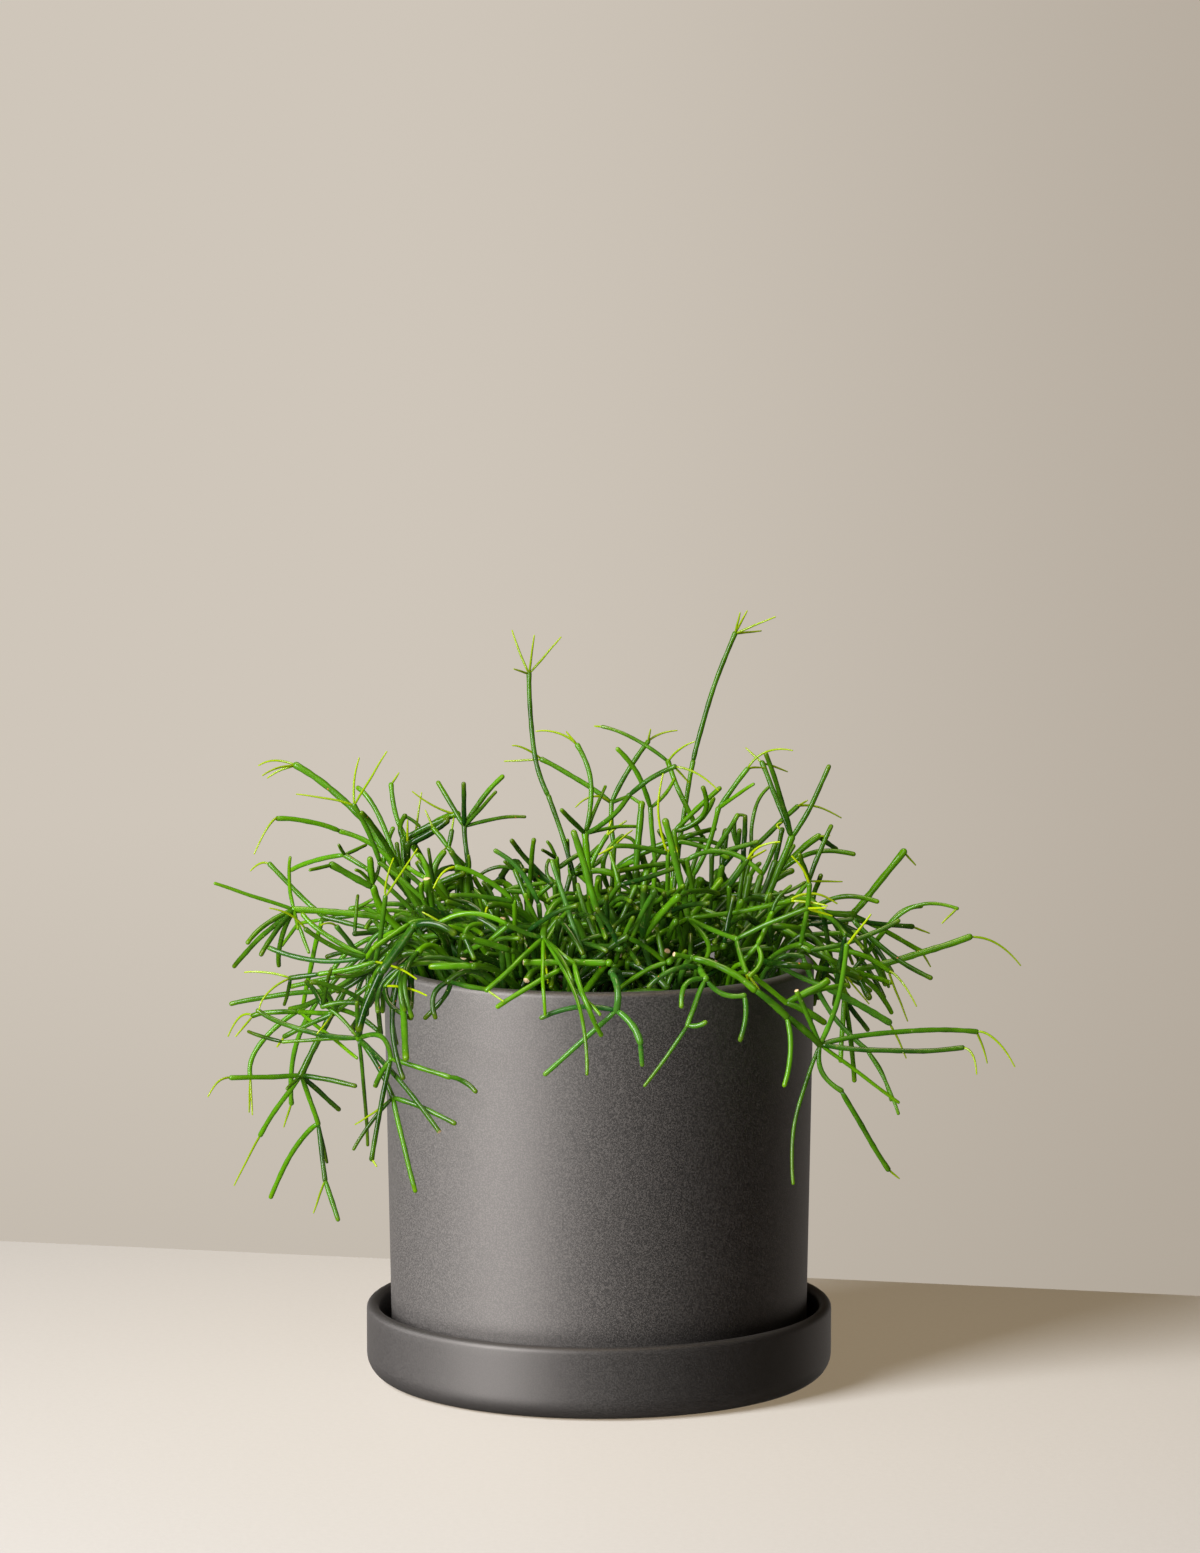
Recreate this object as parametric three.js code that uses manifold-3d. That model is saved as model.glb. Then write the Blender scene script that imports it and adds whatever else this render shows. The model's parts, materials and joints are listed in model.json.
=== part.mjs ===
// A mistletoe cactus (Rhipsalis) in a matte cylindrical pot, standing on its saucer.
// Millimetres, +Z up, origin on the floor under the middle of the saucer, -Y towards the front.
import * as THREE from 'three';
import { mergeVertices } from 'three/addons/utils/BufferGeometryUtils.js';
import Module from 'manifold-3d';

const wasm = await Module();
wasm.setup();

// ---------------------------------------------------------------- driving dimensions

const TOUCH_GAP = 0.3;            // left between pieces that rest on or in each other
const TURNED_SIDES = 36;          // facets round the pot, the saucer and the soil

const SAUCER = {
  height: 29.6,
  rimRadius: 93.4,
  wall: 5,
  floor: 6.2,
  cornerRadius: 9.5,              // between the underside and the outer wall
  innerCornerRadius: 3.5,
};

const POT = {
  foot: SAUCER.floor + TOUCH_GAP,
  rim: 167.5,
  rimRadius: 86,
  footRadius: 83.2,
  wall: 6.5,
  floor: 8,
  rimRounding: 2.2,
  footRounding: 3,
  drainRadius: 5,
};

const SOIL = {
  top: 150,
  holeRadius: 2.7,
  holeDepth: 9,
  holeSides: 6,
};

// Stem radii by age. A tube of few sides is drawn a little larger, so that its width is true.
const STEM = {
  old: { radius: 1.25, sides: 4 },
  mid: { radius: 0.95, sides: 3 },
  slim: { radius: 0.72, sides: 3 },
  young: { radius: 0.4, sides: 3 },
  gold: { radius: 0.45, sides: 3 },
};
const FACET_SCALE = 1.12;
const CROWN_RADIUS = 1.7;         // the woody foot that a clump's stems leave the soil from
const CROWN_SIDES = 4;
const CROWN_HEIGHT = 3;
const STEM_CLEARANCE = 0.4;       // between the stems of two clumps, and from stem to pot
const SPAN_SAGS = [1.2, 7];       // a stem that sags more than these has 2 spans, then 3
const CHECK_STEP = 3;             // between the points of a stem that are tested against the pot

// ---------------------------------------------------------------- stems in space

// Each clump of the table has a name and the place of its foot in the soil (x, y). Its stems
// follow as a tree: a deeper indent grows from the end of the stem above it. A stem is an age,
// then where it ends (x, z, y), then, where it is bent, the point (x, z) that it passes half way.
// x and z are sighted from EYE on the upright plane y = 0, and y is the true depth.
const EYE = [0.4, -2400, 532];

const STEM_TABLE = `
left_arch -46 12
 mid -83.5 207.5 14 -66 180
  old -120.5 246 26 -98 228.5
   young -135.5 246 34 -128.5 248
 old -90 196.7 -6 -76 176
  old -106.5 206 -12
left_whorl -38 -10
 mid -87.5 207 -10 -62 184
  mid -97.5 230 -14 -91 217
 mid -80 205 0 -60 186
  mid -103 219.5 2 -91 214.5
   mid -128 224.7 -8 -115.5 223.5
  mid -96 237 12 -88.5 227
left_reach -54 26
 mid -92.5 204.5 34 -70 182
  mid -101.5 210 38
   mid -122.7 204 52 -113 208
 mid -92 180.5 42 -74 176
  mid -110 185 50
   mid -131.3 206.3 60 -119 193.5
left_whorl_low -62 8
 old -78 183.5 8 -70 172
  old -121.8 188 4 -100.5 186.6
   slim -153.2 198.6 -8
   slim -123.2 209 18 -123.6 199
   mid -140.3 174.8 -12 -132.5 182.5
   mid -145.8 165.2 16 -136 176
   mid -135 170 -22 -129 179.5
left_knee -52 -42
 mid -89.5 167 -44 -72 174
  mid -85.3 193 -56 -87.3 178
  mid -111.6 162 -40 -100.5 164
   mid -123.3 160.4 -36
  gold -73 160 -92 -81 164.6
 mid -92.5 169 -26 -74 178
  mid -117 180 -30 -104 172
left_drop -48 48
 mid -96 186 54 -70 184
  mid -110.5 184 58
   mid -118.2 150.3 66 -114.5 168.5
 mid -90 177 44 -72 178
  mid -112 152 46 -103 168
   mid -123.3 109.7 52 -121.5 132
   mid -139.7 120.2 40 -134 136
left_hub -66 -24
 old -82 172 -28 -74 170
  mid -90.7 158.7 -36
   mid -106.1 146 -36
    mid -125.8 136.8 -30 -114.6 142.4
    mid -119.7 146.6 -26
     mid -138.4 145.2 -22 -131 146.6
     slim -97 128 -52
 mid -92 165 -14 -82 176
  mid -106.3 155.3 -18
   mid -123.6 148 -8 -114.7 150.6
   mid -147 150 -14 -128 153.5
left_tangle -44 -54
 old -78 170 -48 -62 166
  old -91 157.5 -48 -86.5 165
   old -96.2 136 -50 -94.5 147
    slim -126.4 134.5 -44 -111.5 135.5
     slim -140.3 138.7 -36 -133.5 136.3
    mid -83.3 127.6 -68 -87 136.5
     mid -91.2 87 -74 -88 106
     mid -60 120.3 -80 -73 124.5
      mid -49.5 114.5 -88 -54.5 118.7
    slim -92.8 92.7 -52 -94 115
    mid -82.6 112 -66 -88.5 124.5
     mid -73.8 74 -78 -79 95
     mid -58 101.5 -80 -70 107.5
     slim -98.4 91 -72 -92 101
    mid -64 98 -82 -80 119
    mid -136.4 147.2 -40 -119 139.3
left_cascade -68 22
 old -84 177 18 -76 174
  old -104 151 16 -95 166
   old -119.4 121 12 -111 138.5
    mid -147.3 120 2 -133 120.3
     young -156.7 112.3 -4 -152.3 118.6
    mid -97.8 116.7 2 -109 119.3
    mid -112.6 101.3 14 -115.6 110.4
     mid -131.8 71.5 22 -121.5 92
     mid -110 78.5 6
      mid -104.9 62.3 0
    mid -135.8 96.8 28 -128.5 108.5
     young -146.5 76.2 36 -140 89
left_bar -70 -8
 mid -95 168.5 -8 -82 178
  mid -132.2 172.8 8 -114.4 167.7
left_fringe -32 -62
 mid -79 164.5 -62 -54 164
  mid -85.3 157 -62
  mid -78.5 120 -82 -82.5 141
  old -77.3 128 -88 -78.3 146
 old -60 159 -74 -46 162
  mid -44.5 155.7 -84 -52 157
  mid -65.5 144.5 -80 -66 153.5
left_bow -36 -34
 mid -33.8 191 -50 -34 170
  mid -56.7 205.2 -56 -45 200.3
  mid -58.8 193.8 -60 -46 193.2
 mid -60 181 -48 -46 172
  mid -75.5 182.5 -54 -69 183.5
   mid -90 172.5 -64 -83 177.5
left_curl -24 -52
 mid -35 171.5 -70 -28 164
  old -53.8 177 -76 -45 174.5
   mid -47 182.3 -68 -52 181
 old -50 165.3 -76 -36 160
  old -67 165 -74 -60 165.3
fountain -8 -30
 mid -5 192 -44 -2 170
  old -22.3 176.7 -66 -17.5 190
   mid -44.8 155.5 -86 -33.5 166
   slim -21.5 145.5 -90 -22.3 160
   mid -10 166.5 -80 -15.5 170.5
    mid 0.8 137.5 -92 -5.5 151
   slim -4.8 121.5 -104 -8.5 150
   slim -10.3 156.5 -88 -14.5 168
   mid -36.2 181.8 -70 -29 178.5
    mid -63.3 183 -64 -50 186.5
spill -12 -64
 mid -15 164 -78 -12 160
  mid -40.5 148.8 -90 -27 157.5
 old 4 166.5 -76 -2 160
  old -30 166.8 -74
fan 8 -44
 old 3.8 169.5 -60 7 160
  mid -8.5 198 -52 -3 180.5
  mid 14.5 197 -52 8.3 182
   slim 31 193 -44 22 196.5
  old -1.5 160 -80
spotted 0 -22
 old 0 184 -36 0 166
  old -10 219 -32 -4.5 201
claw 14 -62
 old 5 162.5 -80 9 160
  old 7 147.3 -90 7.4 156
   mid -23 144.3 -90 -9 148.5
   mid -21.5 121.5 -92 -7 134.5
   old 16.5 134.5 -96 13 141.8
    mid 17.3 125.3 -94
teal -20 -14
 mid -6 169 -70 -12 158
  mid -18.7 207.5 -60 -11.5 185
 mid -24 190 -26 -22 168
  mid -41.2 211.7 -26 -31 203
rim_right 38 -48
 old 40 164.5 -70 38 158
  old 42.5 160 -82
   mid 35.5 141.3 -90 39 151.5
    slim 18.3 116.8 -96 28.5 130.5
   mid 58 153.3 -82 49.5 154
    mid 56.6 135.5 -84 58.8 145.5
  mid 20 157 -82 30 164
crown 28 -30
 old 35.5 184.5 -46 32 166
  mid 10 169 -64 24 178
  mid 55 176.2 -64 45 180
   mid 83 188.5 -70 68 182.5
   mid 58.8 163 -72 56.5 169.5
  old 26.5 223.5 -44 31.5 204
  mid 76 191.5 -52 57 187.5
hook 20 -14
 mid 27.5 210.5 -30 26 180
  mid 6.5 213.7 -38 17.5 213
  gold 25.5 242.5 -30 23.8 226
 old 14.8 203 -16 17 176
  old 17 230.5 -14 15.8 217
knot 4 -6
 mid 0 181 -30 2 164
  mid 8 198 -40 3 190
   mid 29.5 204.5 -40 18 200.5
 mid 9.5 182 -24 7 164
  mid 30 196 -56
bow 42 -16
 mid 35 208 -24 40 180
  mid 64.5 203 -26 50 211.5
  mid 8 203.5 -34 22 206
 mid 45 210 -12 44 180
  mid 63 215.3 -10
elbow 34 -4
 mid 37.5 201.5 -6 35 176
  mid 47.5 228.5 -8 43.5 214
   mid 59 244.5 -10 53 236.5
    young 77 252 -12 66.5 251.5
   slim 61.5 238.5 -18 54 233.5
 mid 30 219.5 2 33 186
  mid 48 236.8 8 39 228.5
  mid 45.5 232.5 14 40 224
tall_right 26 12
 mid 31 205 16 28 180
  mid 37.4 247.3 24 33.7 226
   mid 54 298.7 34 43.5 270.5
    young 58.8 307.8 40
    young 70 305.4 30 60.5 301.5
tall_left -12 22
 mid -9.9 201 18 -9 178
  mid -20 233.4 26 -14.3 216.5
   mid -27.8 282.6 36 -26 253.5
    young -34.5 300 42 -32 292.5
    young -15.1 297.3 38
star -4 4
 old -4 200 2 -3 174
  old -5.5 218.5 4
   mid -14.8 228 -8
   mid -8.5 254 12 -3.2 238
   mid 12 234 -6 4 224.5
    mid 30 245.5 -14 21 241
   slim 15 221.5 14 5 221
   slim 2.5 237.5 14 -2 227
fork 6 30
 mid 6 213 34 5 182
  mid 5 231 38 5 222
   mid -22.7 248.4 46 -8.5 240.5
   mid 19.5 255.5 44 11 243
twin 18 0
 mid 22.5 206 0 20 176
  mid 20.5 229 2 21.3 218
   mid 7.5 252.5 -6 15.3 242.5
   slim 30 240.5 10 26 234
 mid 41.5 217 16 30 184
  mid 27.5 247.5 22 34 231
   slim 1.5 261.5 30 14.5 256.5
mast -32 2
 mid -50.5 195 8 -42 172
  mid -53.7 221.4 12 -52.7 209.5
   mid -64 239 20
   mid -53.9 238.5 4
   mid -38.5 241.5 18 -46.9 232.2
   slim -29.6 225.4 10 -41 224.7
 mid -66 198 -14 -50 178
  old -62 211 -10 -65.5 205
cross -40 36
 old -74 214 38 -56 184
  old -56.4 226.5 30 -66 222.5
  mid -82.8 238.2 46 -80 223
right_hub 56 6
 old 66 190 6 60 170
  old 76.8 217 10 71.5 203.5
   mid 66.5 250.5 4 72.5 233
   mid 65 247 18 71 232
   mid 91.5 245.5 8 83.5 228
right_back 44 24
 mid 61 212 28 54 184
  mid 79 229.5 34 70 221
   young 96.5 225 42 86.5 229.5
  slim 68.5 238 38 62 228
 mid 72 203 42 58 178
  old 87.5 217.5 48 80 211.5
  mid 101.5 210.4 40 85 210.8
right_sail 54 -14
 mid 57.5 205 -10 55 178
  mid 58.3 225.5 -6
 mid 52 197 -34 52 172
  mid 59 207.8 -40 55.5 202.5
   gold 72 215.3 -46 64 213.3
right_wing 60 26
 mid 84 187 32 70 178
  old 101 186 36
   old 121.5 211.3 44 109.5 196
   mid 129 171 48 113 180
  mid 111 191.3 24 96 193
right_bar 66 -6
 mid 83 182 -6 74 174
  mid 101 184.2 -4
   mid 125 181.2 6 112 182.3
   mid 132.5 160.5 -10 116 170.5
 mid 83.8 199.5 8 72 180
  mid 92.5 221.5 14 87.5 210
right_light 58 -28
 mid 84 171.5 -40 72 170
  mid 119.5 183.5 -30 103 176
 mid 80.5 174 -54 66 166
  mid 84 198 -58 82.8 186
right_reach 72 10
 mid 90 167 8 82 178
  mid 101.5 163.5 2
   mid 114 179.5 -6 107.5 171
    slim 143 188.5 -12 127 189.5
   old 148 177 12 125 169.3
    young 168.5 165.5 18 159 174.3
   mid 116.5 158.5 -14
   mid 117 146.5 16 111 155.5
right_drop 64 -22
 mid 90 172 -26 78 176
  mid 115.5 163.5 -24 104 170
  mid 98 152 -36 94 164
   mid 102.3 119 -36 100.8 136
   mid 107.5 139.5 -26
right_arms 26 -62
 old 37 168.5 -72 32 160
  mid 30 170 -76
  old 62 155.8 -80 50 164.3
   old 75 144.8 -78 69 150.5
    old 88.5 133.5 -70 82 139.5
     mid 151 138.7 -50 119 138.8
      young 166.5 124.5 -52 158.7 135.5
     mid 145.5 132.2 -76 117 130.8
     slim 120 110 -62
     mid 99 173.5 -76 95.5 152
      gold 108.5 186 -80
     mid 97 114.8 -74 89.3 122.5
      mid 116 82.8 -66 107 97.5
     slim 78 77 -86 79 103
     mid 79 155.3 -78 83.5 145
    mid 74.3 117 -84 76.8 131
right_rim 50 -50
 mid 60 162 -72 54 160
  mid 74.8 150.5 -68 67.5 156.5
   mid 99 157.5 -52 88 155.5
   old 90 142.5 -66 82 147.5
 mid 56.5 166 -64 52 160
  mid 63.3 173.5 -66
   mid 69 186.5 -64
   mid 60.5 161.5 -76 64.7 167
right_teal 62 -40
 mid 72 165.5 -52 66 162
  mid 90 157 -52 80 161
   old 116 142.5 -44 104 149.5
 mid 81.5 169 -42 70 166
  mid 107 131.5 -50 91.5 148.5
   slim 117 111 -46 113.3 122
   slim 120 105.5 -58 114.5 119
`;

function sighted(x, z, y) {
  const scale = (y - EYE[1]) / -EYE[1];
  return [EYE[0] + (x - EYE[0]) * scale, y, EYE[2] + (z - EYE[2]) * scale];
}

function readTable(text) {
  const clumps = [];
  for (const line of text.trim().split('\n')) {
    const level = line.search(/\S/);
    const [word, ...rest] = line.trim().split(' ');
    const numbers = rest.map(Number);
    if (level === 0) {
      clumps.push({ name: word, foot: numbers, stems: [] });
      continue;
    }
    const stems = clumps.at(-1).stems;
    const parent = stems.findLastIndex((stem) => stem.level < level);
    stems.push({ age: word, level, parent, target: numbers });
  }
  return clumps;
}

const mix = (a, b, t) => a.map((v, i) => v + (b[i] - v) * t);
const distance = (a, b) => Math.hypot(a[0] - b[0], a[1] - b[1], a[2] - b[2]);

// A stem is a quadratic curve from a to b. through is the point that it passes half way.
function bentCurve(a, through, b) {
  const control = through.map((v, i) => 2 * v - (a[i] + b[i]) / 2);
  const sag = distance(through, mix(a, b, 0.5));
  return { a, control, b, spans: 1 + SPAN_SAGS.filter((limit) => sag > limit).length };
}
const straightCurve = (a, b) => ({ a, control: mix(a, b, 0.5), b, spans: 1 });

function pointOn({ a, control, b }, t) {
  return mix(mix(a, control, t), mix(control, b, t), t);
}

function pointsAlong(curve, spans = curve.spans) {
  return Array.from({ length: spans + 1 }, (_, i) => pointOn(curve, i / spans));
}

// Shortest distance between the segments p-q and u-v.
function segmentDistance(p, q, u, v) {
  const d1 = [q[0] - p[0], q[1] - p[1], q[2] - p[2]];
  const d2 = [v[0] - u[0], v[1] - u[1], v[2] - u[2]];
  const r = [p[0] - u[0], p[1] - u[1], p[2] - u[2]];
  const dot = (m, n) => m[0] * n[0] + m[1] * n[1] + m[2] * n[2];
  const clamp = (x) => Math.min(1, Math.max(0, x));
  const a = dot(d1, d1);
  const e = dot(d2, d2);
  const f = dot(d2, r);
  const c = dot(d1, r);
  const b = dot(d1, d2);
  const denominator = a * e - b * b;
  let s = denominator > 1e-9 ? clamp((b * f - c * e) / denominator) : 0;
  let t = (b * s + f) / e;
  if (t < 0 || t > 1) {
    t = clamp(t);
    s = clamp((b * t - c) / a);
  }
  const gap = r.map((v0, i) => v0 + d1[i] * s - d2[i] * t);
  return Math.sqrt(dot(gap, gap));
}

// ---------------------------------------------------------------- growing without crossing

const potRadiusAt = (z) =>
  POT.footRadius + ((POT.rimRadius - POT.footRadius) * (z - POT.foot)) / (POT.rim - POT.foot);

// Whether a point of a stem is too near the pot, its rim or the soil. reach is the radius and gap.
function touchesPot([x, y, z], reach) {
  if (z > POT.rim + reach) return false;
  const radius = Math.hypot(x, y);
  const outer = potRadiusAt(z);
  if (radius > outer + reach) return false;
  return radius > outer - POT.wall - reach || z < SOIL.top + reach;
}

// The stems placed so far, as straight pieces with a radius and the clump that they belong to.
const placed = [];

function isClear(curve, radius, clump) {
  const reach = radius * FACET_SCALE + STEM_CLEARANCE;
  const length = distance(curve.a, curve.control) + distance(curve.control, curve.b);
  if (pointsAlong(curve, Math.ceil(length / CHECK_STEP)).slice(1).some((p) => touchesPot(p, reach))) {
    return false;
  }
  const points = pointsAlong(curve);
  for (let i = 0; i < points.length - 1; i += 1) {
    const middle = mix(points[i], points[i + 1], 0.5);
    const half = distance(points[i], points[i + 1]) / 2;
    for (const other of placed) {
      if (other.clump === clump) continue;
      const apart = reach + other.radius * FACET_SCALE;
      if (distance(middle, other.middle) > half + other.half + apart) continue;
      if (segmentDistance(points[i], points[i + 1], other.p, other.q) < apart) return false;
    }
  }
  return true;
}

function keep(curve, radius, clump) {
  const points = pointsAlong(curve);
  for (let i = 0; i < points.length - 1; i += 1) {
    const [p, q] = [points[i], points[i + 1]];
    placed.push({ clump, radius, p, q, middle: mix(p, q, 0.5), half: distance(p, q) / 2 });
  }
}

const crownTop = ([x, y]) => [x, y, SOIL.top + CROWN_HEIGHT];

function plantCrown(clump) {
  const [x, y] = clump.foot;
  const crown = straightCurve([x, y, SOIL.top - SOIL.holeDepth], crownTop(clump.foot));
  keep(crown, CROWN_RADIUS, clump.name);
}

// A stem of the table keeps its sighted line. Only its depth moves, by the least that clears it.
const DEPTH_STEP = 1.5;
const DEPTH_STEPS = 22;
const BOWS = [0, 4, -4, 8, -8];

function* sightedCourses({ target: [x, z, y, bendX, bendZ] }, start) {
  const isBent = bendX !== undefined;
  for (let step = 0; step < DEPTH_STEPS; step += 1) {
    const shift = DEPTH_STEP * Math.ceil(step / 2) * (step % 2 ? 1 : -1);
    const end = sighted(x, z, y + shift);
    for (const bow of BOWS) {
      const middle = mix(start, end, 0.5);
      const depth = middle[1] + bow;
      if (isBent) yield bentCurve(start, sighted(bendX, bendZ, depth), end);
      else if (bow === 0) yield straightCurve(start, end);
      else {
        const ratio = (depth - EYE[1]) / (middle[1] - EYE[1]);
        const through = middle.map((v, i) => EYE[i] + (v - EYE[i]) * ratio);
        yield bentCurve(start, through, end);
      }
    }
  }
}

function growStem(clump, stem, courses) {
  const parent = clump.stems[stem.parent];
  if (parent && !parent.curve) return;
  const start = parent ? parent.curve.b : crownTop(clump.foot);
  const { radius } = STEM[stem.age];
  for (const curve of courses(stem, start, parent)) {
    if (isClear(curve, radius, clump.name)) {
      stem.curve = curve;
      keep(curve, radius, clump.name);
      return;
    }
  }
}

function growClumps(clumps, courses) {
  const deepest = Math.max(...clumps.flatMap(({ stems }) => stems.map(({ level }) => level)));
  for (let level = 1; level <= deepest; level += 1) {
    for (const clump of clumps) {
      for (const stem of clump.stems) {
        if (stem.level === level) growStem(clump, stem, courses);
      }
    }
  }
}

// ---------------------------------------------------------------- the back of the plant

// The clumps behind the table's ones grow by rule: first out to a place given by an azimuth, a
// radius and a height, then in whorls whose directions are drawn, and drawn again where they
// would cross another clump. They stay behind the table's stems, as sighted from EYE.
// A place of the rules is a radius and a height at the clump's azimuth.
const TRAILS = {
  count: 7,
  firstAzimuth: 42,
  azimuthStep: 16,
  footRadii: [46, 58],
  arch: { over: [66, 188], to: [97, 181] },
  fall: { over: [106, 172], to: [108, 152] },
  whorl: { age: 'mid', length: [32, 46], spread: 0.75, lean: 0.1, droop: 0.9 },
  tip: { age: 'slim', length: [24, 36], spread: 0.5, lean: 0, droop: 0.9 },
};
const DOMES = {
  count: 5,
  firstAzimuth: 24,
  azimuthStep: 33,
  footRadii: [18, 30, 38],
  arches: [{ over: [34.8, 172], to: [58, 184] }, { over: [43.2, 172], to: [72, 184] }],
  whorl: { age: 'mid', length: [30, 44], spread: 0.8, lean: 0.5, droop: 0.1 },
  tip: { age: 'slim', length: [22, 34], spread: 0.6, lean: 0.2, droop: 0.2 },
};
const DRAWS = 60;
const SHAKE_MOST = 14;            // how far a given place may be moved to clear the other clumps
const ONWARD = 0.5;               // how much a drawn stem keeps its parent's direction
const RISE = 0.07;                // how far it arches up half way, as a share of its length
const HIDDEN_HALF_WIDTH = 80;
const HIDDEN_TOP = 206;
const HIDDEN_TOP_FALL = 22;       // how much lower that top is at the half width

function randomSource(seed) {
  let state = seed;
  return () => {
    state = (Math.imul(state, 1664525) + 1013904223) >>> 0;
    return state / 2 ** 32;
  };
}
const random = randomSource(7);
const between = (low, high) => low + (high - low) * random();

function polar(azimuth, radius, z) {
  const angle = (azimuth * Math.PI) / 180;
  return [radius * Math.cos(angle), radius * Math.sin(angle), z];
}

function normalize(v) {
  const size = Math.hypot(...v);
  return v.map((x) => x / size);
}

function isHidden([x, y, z]) {
  const scale = -EYE[1] / (y - EYE[1]);
  const across = Math.abs(EYE[0] + (x - EYE[0]) * scale) / HIDDEN_HALF_WIDTH;
  const height = EYE[2] + (z - EYE[2]) * scale;
  return across < 1 && height < HIDDEN_TOP - HIDDEN_TOP_FALL * across ** 2;
}

function placesAt(azimuth, { over, to }) {
  return { over: polar(azimuth, ...over), to: polar(azimuth, ...to) };
}

function trailClump(i) {
  const { firstAzimuth, azimuthStep, footRadii, arch, fall, whorl, tip } = TRAILS;
  const azimuth = firstAzimuth + azimuthStep * i;
  return {
    name: `back_trail_${i + 1}`,
    foot: polar(azimuth, footRadii[i % footRadii.length], 0).slice(0, 2),
    stems: [
      { age: 'old', level: 1, parent: -1, ...placesAt(azimuth, arch) },
      { age: 'mid', level: 2, parent: 0, ...placesAt(azimuth, fall) },
      ...[1, 1, 1].map((parent) => ({ ...whorl, level: 3, parent })),
      ...[2, 3].map((parent) => ({ ...tip, level: 4, parent })),
    ],
  };
}

function domeClump(i) {
  const { firstAzimuth, azimuthStep, footRadii, arches, whorl, tip } = DOMES;
  const azimuth = firstAzimuth + azimuthStep * i;
  return {
    name: `back_dome_${i + 1}`,
    foot: polar(azimuth, footRadii[i % footRadii.length], 0).slice(0, 2),
    stems: [
      { age: 'old', level: 1, parent: -1, ...placesAt(azimuth, arches[i % arches.length]) },
      ...[0, 0, 0].map((parent) => ({ ...whorl, level: 2, parent })),
      ...[1, 2].map((parent) => ({ ...tip, level: 3, parent })),
    ],
  };
}

function* drawnCourses(stem, start, parent) {
  for (let draw = 0; draw < DRAWS; draw += 1) {
    if (stem.to) {
      const shake = () => (draw === 0 ? 0 : between(-1, 1) * Math.min(SHAKE_MOST, draw));
      const end = stem.to.map((v) => v + shake());
      yield bentCurve(start, stem.over.map((v) => v + shake() / 2), end);
      continue;
    }
    const onward = normalize(start.map((v, i) => v - parent.curve.control[i]));
    const outward = normalize([start[0], start[1], 0]);
    const across = normalize([between(-1, 1), between(-1, 1), between(-1, 1)]);
    const heading = normalize(onward.map((v, i) => (
      v * ONWARD + outward[i] * stem.lean + across[i] * stem.spread - (i === 2 ? stem.droop : 0)
    )));
    const length = between(...stem.length);
    const end = start.map((v, i) => v + heading[i] * length);
    const through = mix(start, end, 0.5);
    through[2] += length * RISE;
    if (isHidden(end) && isHidden(through)) yield bentCurve(start, through, end);
  }
}

// ---------------------------------------------------------------- solids

function toSolid(geometry) {
  const bare = geometry.clone();
  bare.deleteAttribute('normal');
  bare.deleteAttribute('uv');
  const merged = mergeVertices(bare, 1e-4);
  return new wasm.Manifold(new wasm.Mesh({
    numProp: 3,
    vertProperties: new Float32Array(merged.attributes.position.array),
    triVerts: new Uint32Array(merged.index.array),
  }));
}

function toGeometry(solid) {
  const { vertProperties, triVerts, numProp } = solid.getMesh();
  const geometry = new THREE.BufferGeometry();
  const positions = new Float32Array((vertProperties.length / numProp) * 3);
  for (let i = 0; i < positions.length; i += 1) {
    positions[i] = vertProperties[Math.floor(i / 3) * numProp + (i % 3)];
  }
  geometry.setAttribute('position', new THREE.BufferAttribute(positions, 3));
  geometry.setIndex(new THREE.BufferAttribute(new Uint32Array(triVerts), 1));
  geometry.computeVertexNormals();
  return geometry;
}

function polygon(sides, radius) {
  const corners = Array.from({ length: sides }, (_, i) => {
    const angle = (2 * Math.PI * i) / sides;
    return new THREE.Vector2(radius * Math.cos(angle), radius * Math.sin(angle));
  });
  return new THREE.Shape(corners);
}

const vector = (p) => new THREE.Vector3(...p);

function tube({ a, control, b, spans }, radius, sides) {
  const path = spans === 1
    ? new THREE.LineCurve3(vector(a), vector(b))
    : new THREE.QuadraticBezierCurve3(vector(a), vector(control), vector(b));
  return new THREE.ExtrudeGeometry(polygon(sides, radius * FACET_SCALE), {
    steps: spans,
    bevelEnabled: false,
    extrudePath: path,
  });
}

// ---------------------------------------------------------------- pot, saucer and soil

// Points of a quarter round between two directions given in degrees.
function arc(centerX, centerZ, radius, from, to, steps) {
  return Array.from({ length: steps + 1 }, (_, i) => {
    const angle = ((from + ((to - from) * i) / steps) * Math.PI) / 180;
    return [centerX + radius * Math.cos(angle), centerZ + radius * Math.sin(angle)];
  });
}

// LatheGeometry turns about +Y, and is stood up so that its axis is +Z.
function turned(profile) {
  const points = profile.map(([x, z]) => new THREE.Vector2(x, z));
  const geometry = new THREE.LatheGeometry(points, TURNED_SIDES);
  geometry.rotateX(Math.PI / 2);
  return toSolid(geometry);
}

function saucerSolid() {
  const { height, rimRadius, wall, floor, cornerRadius, innerCornerRadius } = SAUCER;
  const lip = wall / 2;
  const innerRadius = rimRadius - wall;
  return turned([
    [0, 0],
    ...arc(rimRadius - cornerRadius, cornerRadius, cornerRadius, -90, 0, 3),
    ...arc(rimRadius - lip, height - lip, lip, 0, 180, 4),
    ...arc(innerRadius - innerCornerRadius, floor + innerCornerRadius, innerCornerRadius, 0, -90, 2),
    [0, floor],
  ]);
}

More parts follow.
